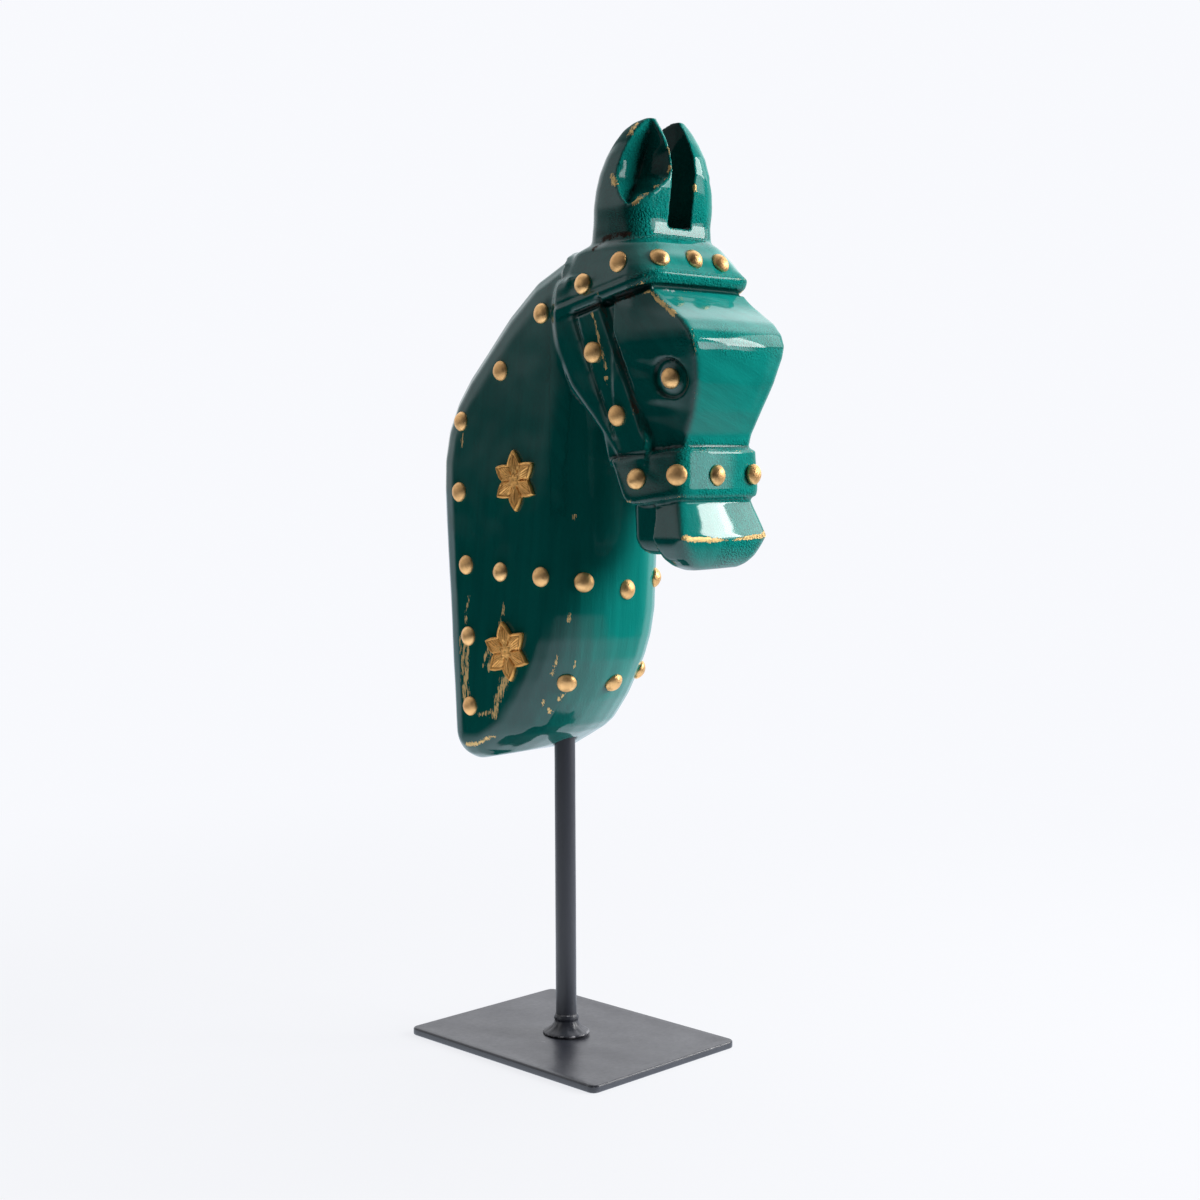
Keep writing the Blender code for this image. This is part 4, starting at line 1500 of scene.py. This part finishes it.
@dataclass
class Stars:
    """The pressed brass flowers with six veined petals."""

    radius: float = 0.0113
    height: float = 0.0017
    sink: float = 0.0006
    petals: int = 6
    rings: int = 26
    steps: int = 192

    def build(self, material: bpy.types.Material) -> list[bpy.types.Object]:
        """Makes a flower for each packed star.

        Args:
            material: the brass.

        Returns:
            The finished pieces.
        """
        made = []
        nodes = sorted(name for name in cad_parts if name.startswith("star_"))
        for node in nodes:
            item = new_object(f"flower_{node[5:]}", self._flower(node))
            item.data.transform(self._place(node))
            self._shade(item)
            made.append(settle(item, material, [node]))
        return made

    def _place(self, node: str) -> Matrix:
        """The seat of a star, turned so that its petals point where the solid's do.

        Args:
            node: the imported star.

        Returns:
            The seat, with X towards the tip of a petal.
        """
        seat = node_frame(node)
        inverse = seat.inverted()
        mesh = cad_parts[node].data
        far = max((inverse @ vert.co for vert in mesh.vertices), key=lambda spot: spot.xy.length)
        spin = math.atan2(far.y, far.x)
        return seat @ Matrix.Rotation(spin, 4, "Z")

    def _outline(self, turn: float, shift: float) -> float:
        """The flower's radius in one direction, as a share of the tip's.

        Args:
            turn: direction, in radians, with a tip at 0.
            shift: seeds the unevenness of the petals.

        Returns:
            The share, from the valleys at about 0.6 to 1.
        """
        sector = math.tau / self.petals
        off = abs((turn + sector / 2) % sector - sector / 2) / (sector / 2)
        shape = 0.63 + 0.37 * (1 - off) ** 1.25
        number = round(turn / sector) % self.petals
        uneven = noise.noise(Vector((number * 2.3 + shift, shift, 0)))
        return shape * (1 + 0.05 * uneven)

    def _relief(self, share: float, turn: float, shift: float) -> float:
        """Height of the pressed pattern, as a share of the flower's height.

        Args:
            share: distance from the middle, from 0 to 1 at the outline.
            turn: direction, in radians, with a tip at 0.
            shift: seeds the unevenness.

        Returns:
            The height, from 0 to about 1.
        """
        sector = math.tau / self.petals
        off = ((turn + sector / 2) % sector - sector / 2) / (sector / 2)
        rim = math.exp(-((share - 0.93) / 0.055) ** 2)
        petal = min(1.0, max(0.0, (share - 0.30) / 0.12))
        cup = 0.36 + 0.30 * petal * (1 - abs(off) ** 1.6) * math.sin(math.pi * min(1, share))
        seam = petal * math.exp(-((abs(off) - 1.0) / 0.16) ** 2)
        middle_vein = petal * math.exp(-(off * (0.3 + share) / 0.09) ** 2)
        side_veins = petal * 0.5 * (1 + math.cos(off * (0.35 + share) * 26.0 + 9.0 * share))
        inside = max(0.0, min(1.0, (0.88 - share) / 0.1))
        centre = 0.52 * math.exp(-(share / 0.24) ** 4) - 0.25 * math.exp(-(share / 0.11) ** 2)
        ring = 0.22 * math.exp(-((share - 0.31) / 0.05) ** 2)
        grain = noise.noise(Vector((share * math.cos(turn), share * math.sin(turn), shift)) * 6)
        level = cup + centre + ring + 0.42 * rim - 0.34 * seam
        level += inside * (0.20 * middle_vein + 0.15 * side_veins) + 0.10 * grain
        return level * min(1.0, (1.04 - share) / 0.05)

    def _flower(self, node: str) -> bmesh.types.BMesh:
        """One flower: a disc spun from a line, drawn out to petals and pressed.

        Args:
            node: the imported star, which seeds its unevenness.

        Returns:
            The mesh, with its back below the XY plane.
        """
        shift = sum(ord(letter) for letter in node) * 0.37
        bm = bmesh.new()
        profile = [(0.0, -self.sink, 0.0), (1.0, -self.sink, 0.0)]
        profile += [(1 - ring / self.rings, 0.0, 1.0) for ring in range(self.rings + 1)]
        top = bm.verts.layers.float.new("top")
        share_layer = bm.verts.layers.float.new("share")
        verts = []
        for share, level, is_top in profile:
            vert = bm.verts.new((share * self.radius, 0, level))
            vert[top] = is_top
            vert[share_layer] = share
            verts.append(vert)
        edges = [bm.edges.new(pair) for pair in zip(verts, verts[1:])]
        bmesh.ops.spin(bm, geom=verts + edges, cent=(0, 0, 0), axis=(0, 0, 1),
                       angle=math.tau, steps=self.steps, use_merge=True)
        bmesh.ops.remove_doubles(bm, verts=bm.verts, dist=1e-7)
        for vert in bm.verts:
            turn = math.atan2(vert.co.y, vert.co.x)
            share = vert[share_layer]
            level = vert.co.z
            if vert[top] > 0.5:
                level = self.height * self._relief(share, turn, shift)
            reach = self.radius * self._outline(turn, shift) * share
            vert.co = (reach * math.cos(turn), reach * math.sin(turn), level)
        return bm

    def _shade(self, item: bpy.types.Object) -> None:
        """Paints the mask of the dark recesses.

        Args:
            item: the flower, in its place.
        """
        skin = Skin(item.data)
        recess = smoothstep(skin.bulge(6), -0.01, -0.07)
        skin.paint("recess", skin.blurred(recess, 1))


# The stand

@dataclass
class Stand:
    """The plate, the rod and the rippled weld between them."""

    plate_corner: float = 0.003
    plate_rim: float = 0.0008
    dent_height: float = 0.0006
    dent_pitch: float = 0.021
    small_dent_pitch: float = 0.009
    slice_pitch: float = 0.003
    rod_sides: int = 64
    rod_rings: int = 50
    rod_rim: float = 0.0004
    rod_uneven: float = 0.00003
    # distance out from the rod and height, as shares, from the weld's foot to its top
    weld_shape: tuple[Pair, ...] = (
        (1.0, -0.03), (0.94, 0.04), (0.76, 0.10), (0.56, 0.18), (0.39, 0.27), (0.26, 0.37),
        (0.17, 0.47), (0.11, 0.57), (0.08, 0.64), (0.11, 0.68), (0.14, 0.75), (0.14, 0.84),
        (0.10, 0.92), (0.04, 0.98), (0.0, 1.0),
    )
    weld_sides: int = 96

    def build(self, effects: Effects) -> list[bpy.types.Object]:
        """Makes the three steel pieces.

        Args:
            effects: the shared effects.

        Returns:
            The finished pieces.
        """
        plate_paint = BlackSteel("plate_paint", roughness=0.31).material(effects)
        rod_paint = BlackSteel("rod_paint", roughness=0.38, upright=True).material(effects)
        return [
            settle(self._plate(), plate_paint, ["base_plate"]),
            settle(self._rod(), rod_paint, ["stand_rod"]),
            settle(self._weld(), rod_paint, ["foot_weld"]),
        ]

    def _plate(self) -> bpy.types.Object:
        """The foot plate with rounded rims and a slightly buckled top.

        Returns:
            The plate, with its mask.
        """
        low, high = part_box("base_plate")
        size = high - low
        bm = bmesh.new()
        middle = Matrix.Translation((low + high) / 2)
        bmesh.ops.create_cube(bm, size=1, matrix=middle @ Matrix.Diagonal((*size, 1)))
        upright = [edge for edge in bm.edges
                   if abs(edge.verts[0].co.z - edge.verts[1].co.z) > size.z / 2]
        bmesh.ops.bevel(bm, geom=upright, offset=self.plate_corner, segments=6, profile=0.5,
                        affect="EDGES", material=-1)
        rims = [edge for edge in bm.edges
                if abs(edge.verts[0].co.z - edge.verts[1].co.z) < 1e-6]
        bmesh.ops.bevel(bm, geom=rims, offset=self.plate_rim, segments=4, profile=0.5,
                        affect="EDGES", material=-1)
        for axis in (0, 1):
            cuts = round(size[axis] / self.slice_pitch)
            normal = Vector((1.0, 0, 0)) if axis == 0 else Vector((0, 1.0, 0))
            for cut in range(1, cuts):
                spot = low + normal * size[axis] * cut / cuts
                bmesh.ops.bisect_plane(bm, geom=bm.verts[:] + bm.edges[:] + bm.faces[:],
                                       plane_co=spot, plane_no=normal, dist=1e-6)
        for vert in bm.verts:
            if vert.co.z > high.z - 1e-5:
                rim = min(high.x - vert.co.x, vert.co.x - low.x,
                          high.y - vert.co.y, vert.co.y - low.y)
                fade = min(1.0, max(0.0, rim - self.plate_rim) / 0.006)
                swell = noise.noise(vert.co / self.dent_pitch + Vector((5, 2, 0)))
                swell += 0.4 * noise.noise(vert.co / self.small_dent_pitch)
                vert.co.z += self.dent_height * fade * (swell - 0.9)
        item = new_object("foot_plate", bm)
        self._rub_edges(item, 5, 0.03, 0.12, 0.12)
        return item

    def _rod(self) -> bpy.types.Object:
        """The round rod, a touch uneven under its paint.

        Returns:
            The rod, with its mask.
        """
        low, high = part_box("stand_rod")
        radius = (high.x - low.x) / 2
        centre = (low + high) / 2
        bm = bmesh.new()
        bmesh.ops.create_cone(bm, cap_ends=True, segments=self.rod_sides, radius1=radius,
                              radius2=radius, depth=high.z - low.z,
                              matrix=Matrix.Translation(centre))
        rims = [edge for edge in bm.edges
                if abs(edge.verts[0].co.z - edge.verts[1].co.z) < 1e-6]
        bmesh.ops.bevel(bm, geom=rims, offset=self.rod_rim, segments=2, profile=0.5,
                        affect="EDGES", material=-1)
        for ring in range(1, self.rod_rings):
            level = Vector((0, 0, low.z + (high.z - low.z) * ring / self.rod_rings))
            bmesh.ops.bisect_plane(bm, geom=bm.verts[:] + bm.edges[:] + bm.faces[:],
                                   plane_co=level, plane_no=(0, 0, 1), dist=1e-6)
        for vert in bm.verts:
            out = Vector((vert.co.x - centre.x, vert.co.y - centre.y, 0))
            if out.length > radius * 0.99:
                swell = noise.noise(Vector((out.x, out.y, vert.co.z * 0.4)) / 0.006)
                vert.co -= out.normalized() * self.rod_uneven * (1 + swell)
        item = new_object("steel_rod", bm)
        self._rub_edges(item, 3, 0.1, 0.3, 0.3)
        return item

    def _weld(self) -> bpy.types.Object:
        """The weld's flared foot, with the ripples that the bead left.

        Returns:
            The weld, with its mask.
        """
        low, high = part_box("foot_weld")
        radius = (high.x - low.x) / 2
        rod_low, rod_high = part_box("stand_rod")
        inner = (rod_high.x - rod_low.x) / 2 + 0.00005
        centre = (low + high) / 2
        tall = high.z - low.z
        span = radius - inner
        profile = [(inner, low.z - 0.0003)]
        profile += [(inner + span * out, low.z + tall * up) for out, up in self.weld_shape]
        bm = bmesh.new()
        verts = [bm.verts.new((out, 0, up)) for out, up in profile]
        edges = [bm.edges.new(pair) for pair in zip(verts, verts[1:] + verts[:1])]
        bmesh.ops.spin(bm, geom=verts + edges, cent=(0, 0, 0), axis=(0, 0, 1),
                       angle=math.tau, steps=self.weld_sides, use_merge=True)
        for vert in bm.verts:
            out = vert.co.xy.length
            if out > inner + 1e-5:
                turn = math.atan2(vert.co.y, vert.co.x)
                spot = Vector((math.cos(turn), math.sin(turn), vert.co.z / tall * 0.5))
                fold = noise.noise(spot * 3.2) + 0.9 * noise.noise(spot * 8.0)
                share = min(1.0, (out - inner) / span)
                depth = 0.10 * math.sqrt(share) * (1.1 - share)
                pull = 1 + depth * (fold - 0.75) - 0.07 * share ** 3
                vert.co.x *= pull
                vert.co.y *= pull
        bmesh.ops.translate(bm, verts=bm.verts, vec=(centre.x, centre.y, 0))
        item = new_object("rod_weld", bm)
        self._rub_edges(item, 3, 0.05, 0.25, 0.5)
        return item

    def _rub_edges(self, item: bpy.types.Object, reach: int, low: float, high: float,
                   strength: float) -> None:
        """Paints the mask of edges whose paint is rubbed thin.

        Args:
            item: a steel piece.
            reach: how many edges wide a ridge is.
            low: curvature in millimetres where rubbing starts.
            high: curvature where it is full.
            strength: how much is rubbed.
        """
        skin = Skin(item.data)
        skin.paint("edge_rub", strength * smoothstep(skin.bulge(reach), low, high))


# Floor, light and camera

@dataclass(frozen=True)
class SoftBox:
    """A soft studio light.

    Attributes:
        name: name of the light.
        place: where it stands, in metres.
        size: width and height, in metres.
        power: strength in watts.
        colour: tint.
        mirrored: whether glossy surfaces show it.
    """

    name: str
    place: Spot
    size: tuple[float, float]
    power: float
    colour: Colour = (1.0, 1.0, 1.0)
    mirrored: bool = True

    def light(self, aim: Vector) -> bpy.types.Object:
        """Puts the light in the scene, turned towards a point.

        Args:
            aim: the point that it shines at.

        Returns:
            The light's object.
        """
        lamp = bpy.data.lights.new(self.name, "AREA")
        lamp.shape = "RECTANGLE"
        lamp.size, lamp.size_y = self.size
        lamp.energy = self.power
        lamp.color = self.colour
        item = bpy.data.objects.new(self.name, lamp)
        turn = (Vector(self.place) - aim).to_track_quat("Z", "Y")
        item.matrix_world = Matrix.Translation(self.place) @ turn.to_matrix().to_4x4()
        bpy.context.scene.collection.objects.link(item)
        item.visible_camera = False
        item.visible_glossy = self.mirrored
        return item


@dataclass(frozen=True)
class Glow:
    """A soft bright side of the surroundings, which glossy paint mirrors.

    Attributes:
        toward: direction of its middle.
        start: cosine of the angle from there at which it starts.
        full: cosine of the angle at which it is full.
        strength: how bright it is there.
    """

    toward: Spot
    start: float
    full: float
    strength: float

    def shine(self, wiring: Wiring, way: Socket) -> Socket:
        """Its brightness in one direction.

        Args:
            wiring: the surroundings' wiring.
            way: the direction.

        Returns:
            The brightness, from 0 to its strength.
        """
        near = wiring.vector("DOT_PRODUCT", way, self.toward)
        return wiring.step(near, self.start, self.full, 0.0, self.strength)


@dataclass
class Studio:
    """A pale floor, soft light and the camera at the photograph's angle."""

    aim: Spot = (0.0, -0.02, 0.2)
    boxes: tuple[SoftBox, ...] = (
        SoftBox("key_light", (0.86, -0.79, 0.63), (0.32, 0.52), 7.0, (1.0, 0.99, 0.97)),
        SoftBox("key_edge", (1.02, -0.52, 0.66), (0.45, 0.46), 1.7, (1.0, 0.99, 0.97)),
        SoftBox("front_fill", (0.65, -1.10, 0.52), (0.7, 0.7), 18.0, (1.0, 0.99, 0.98), False),
        SoftBox("top_fill", (0.35, 0.05, 1.25), (0.8, 0.8), 6.0, (0.98, 0.99, 1.0), False),
    )
    # ahead on the horse's left, and high on its left
    glows: tuple[Glow, ...] = (
        Glow((0.61, -0.79, 0.03), 0.95, 0.994, 4.6),
        Glow((0.72, 0.25, 0.65), 0.75, 0.97, 2.1),
    )
    back_wall: Glow = Glow((-0.72, 0.69, 0.0), 0.5, 0.95, 0.9)
    backdrop: Spot = (0.70, 0.71, 0.0)
    white: Colour = (0.940, 0.950, 0.985)
    floor_radius: float = 9.0
    floor_middle: Spot = (-0.06, 0.0, 0.0)
    floor_mirrored: Colour = (0.88, 0.95, 1.06)
    camera_place: Spot = (-0.5003, -0.5188, 0.2257)
    # how far it is turned, raised and tilted, in degrees
    camera_angles: Spot = (-44.9, 4.39, -0.23)
    camera_lens: float = 57.24

    def build(self) -> None:
        """Builds the floor, the lights, the surroundings and the camera."""
        aim = Vector(self.aim)
        for box in self.boxes:
            box.light(aim)
        self._floor()
        self._world()
        self._camera()

    def _floor(self) -> None:
        """A round pale floor that ends in the same white as the surroundings.

        The camera sees it nearly white, diffuse light sees it dimmer, and glossy surfaces mirror
        it brightly near the stand and behind it alone.
        """
        bm = bmesh.new()
        bmesh.ops.create_circle(bm, cap_ends=True, segments=64, radius=self.floor_radius)
        floor = new_object("pale_floor", bm, smooth=False)
        material, wiring, shader = new_material("floor_paper")
        path = wiring.add("LightPath")
        place = wiring.add("TexCoord").outputs["Object"]
        grain = wiring.noise(place, 20.0, 3.0, 0.5)
        paper = wiring.blend(grain, (0.80, 0.80, 0.81), (0.83, 0.83, 0.835))
        links = material.node_tree.links
        links.new(paper, shader.inputs["Base Color"])
        shader.inputs["Roughness"].default_value = 0.9
        shader.inputs["Specular IOR Level"].default_value = 0.0
        away = wiring.vector("DISTANCE", place, self.floor_middle)
        near = wiring.step(away, 0.72, 0.12)
        toward = wiring.vector("NORMALIZE", place)
        behind = wiring.step(wiring.vector("DOT_PRODUCT", toward, self.backdrop), 0.15, 0.5)
        sheet = wiring.math("MAXIMUM", near, behind)
        white = (*self.white, 1.0)
        seen = wiring.add("Emission", {"Color": white, "Strength": 1.0})
        lit = wiring.add("Emission", {"Color": white,
                                      "Strength": wiring.math("MULTIPLY", sheet, 0.42)})
        beside = wiring.step(away, 0.45, 0.12, 0.0, 0.5)
        bright = wiring.math("MULTIPLY_ADD", sheet, 0.95, beside)
        mirrored = wiring.add("Emission", {"Color": (*self.floor_mirrored, 1.0),
                                           "Strength": bright})
        fade = wiring.step(wiring.vector("LENGTH", place), 0.1, 0.6, 0.86, 1.0)
        seen = wiring.add("MixShader", {0: fade, 1: shader.outputs[0], 2: seen.outputs[0]})
        other = wiring.add("MixShader", {0: path.outputs["Is Diffuse Ray"],
                                         1: mirrored.outputs[0], 2: lit.outputs[0]})
        final = wiring.add("MixShader", {0: path.outputs["Is Camera Ray"],
                                         1: other.outputs[0], 2: seen.outputs[0]})
        output = material.node_tree.nodes["Material Output"]
        links.new(final.outputs[0], output.inputs["Surface"])
        floor.data.materials.append(material)

    def _world(self) -> None:
        """Surroundings that are white behind the horse and soft above it.

        Glossy paint mirrors them, with the bright sides; diffuse light takes little from them.
        """
        world = bpy.data.worlds.new("studio_walls")
        bpy.context.scene.world = world
        world.use_nodes = True
        wiring = Wiring(world.node_tree)
        path = wiring.add("LightPath")
        way = wiring.add("TexCoord").outputs["Generated"]
        above = wiring.vector("DOT_PRODUCT", way, (0.0, 0.0, 1.0))
        behind = wiring.vector("DOT_PRODUCT", way, self.backdrop)
        front = wiring.vector("DOT_PRODUCT", way, (0.25, -0.97, 0.0))
        side = wiring.vector("DOT_PRODUCT", way, (0.90, 0.43, 0.0))
        high = wiring.math("MULTIPLY", wiring.step(above, 0.1, 0.75, 0.0, 1.25),
                           wiring.step(front, 0.0, 0.45, 1.0, 0.06))
        high = wiring.math("MULTIPLY", high, wiring.step(side, -0.35, 0.35, 0.3, 1.0))
        wall = wiring.math("MULTIPLY", self.back_wall.shine(wiring, way),
                           wiring.step(above, -0.06, 0.26))
        glow = wiring.math("MAXIMUM", wiring.step(behind, 0.1, 0.6, 0.035, 1.05), high)
        glow = wiring.math("MAXIMUM", glow, wall)
        for bright in self.glows:
            glow = wiring.math("MAXIMUM", glow, bright.shine(wiring, way))
        glow = wiring.lerp(path.outputs["Is Diffuse Ray"], glow,
                           wiring.math("MULTIPLY", glow, 0.22))
        strength = wiring.lerp(path.outputs["Is Camera Ray"], glow, 1.0)
        shader = world.node_tree.nodes["Background"]
        shader.inputs["Color"].default_value = (*self.white, 1.0)
        world.node_tree.links.new(strength, shader.inputs["Strength"])

    def _camera(self) -> None:
        """The camera, fitted to the photograph."""
        yaw, pitch, roll = (math.radians(angle) for angle in self.camera_angles)
        back = Vector((math.sin(yaw) * math.cos(pitch), -math.cos(yaw) * math.cos(pitch),
                       math.sin(pitch)))
        right = Vector((math.cos(yaw), math.sin(yaw), 0))
        up = back.cross(right)
        turned = right * math.cos(roll) + up * math.sin(roll)
        lifted = up * math.cos(roll) - right * math.sin(roll)
        lens = bpy.data.cameras.new("camera")
        lens.lens = self.camera_lens
        lens.sensor_width = 36.0
        lens.clip_start = 0.02
        lens.clip_end = 50.0
        camera = bpy.data.objects.new("camera", lens)
        axes = Matrix((turned, lifted, back)).transposed().to_4x4()
        camera.matrix_world = Matrix.Translation(self.camera_place) @ axes
        bpy.context.scene.collection.objects.link(camera)
        bpy.context.scene.camera = camera


def main() -> None:
    """Builds every piece around the frame, in the order of the real work."""
    logging.basicConfig(level=logging.INFO, format="%(name)s %(message)s")
    effects = Effects()
    nail_brass = Brass("nail_brass", bright=(0.98, 0.60, 0.26), brown=(0.60, 0.33, 0.13),
                       polish=0.38, tarnish_scale=0.5)
    star_brass = Brass("star_brass", bright=(0.96, 0.53, 0.165), brown=(0.36, 0.17, 0.05),
                       polish=0.40, tarnish_scale=0.35)
    pieces = [Carving().build(Lacquer().material(effects))]
    pieces += Nails().build(nail_brass.material(effects))
    pieces += Stars().build(star_brass.material(effects))
    pieces += Stand().build(effects)
    for piece in pieces:
        LOG.info("%s: %d faces", piece.name, len(piece.data.polygons))
    Studio().build()
    bpy.context.scene.view_settings.view_transform = "Standard"


if __name__ == "__main__":
    main()
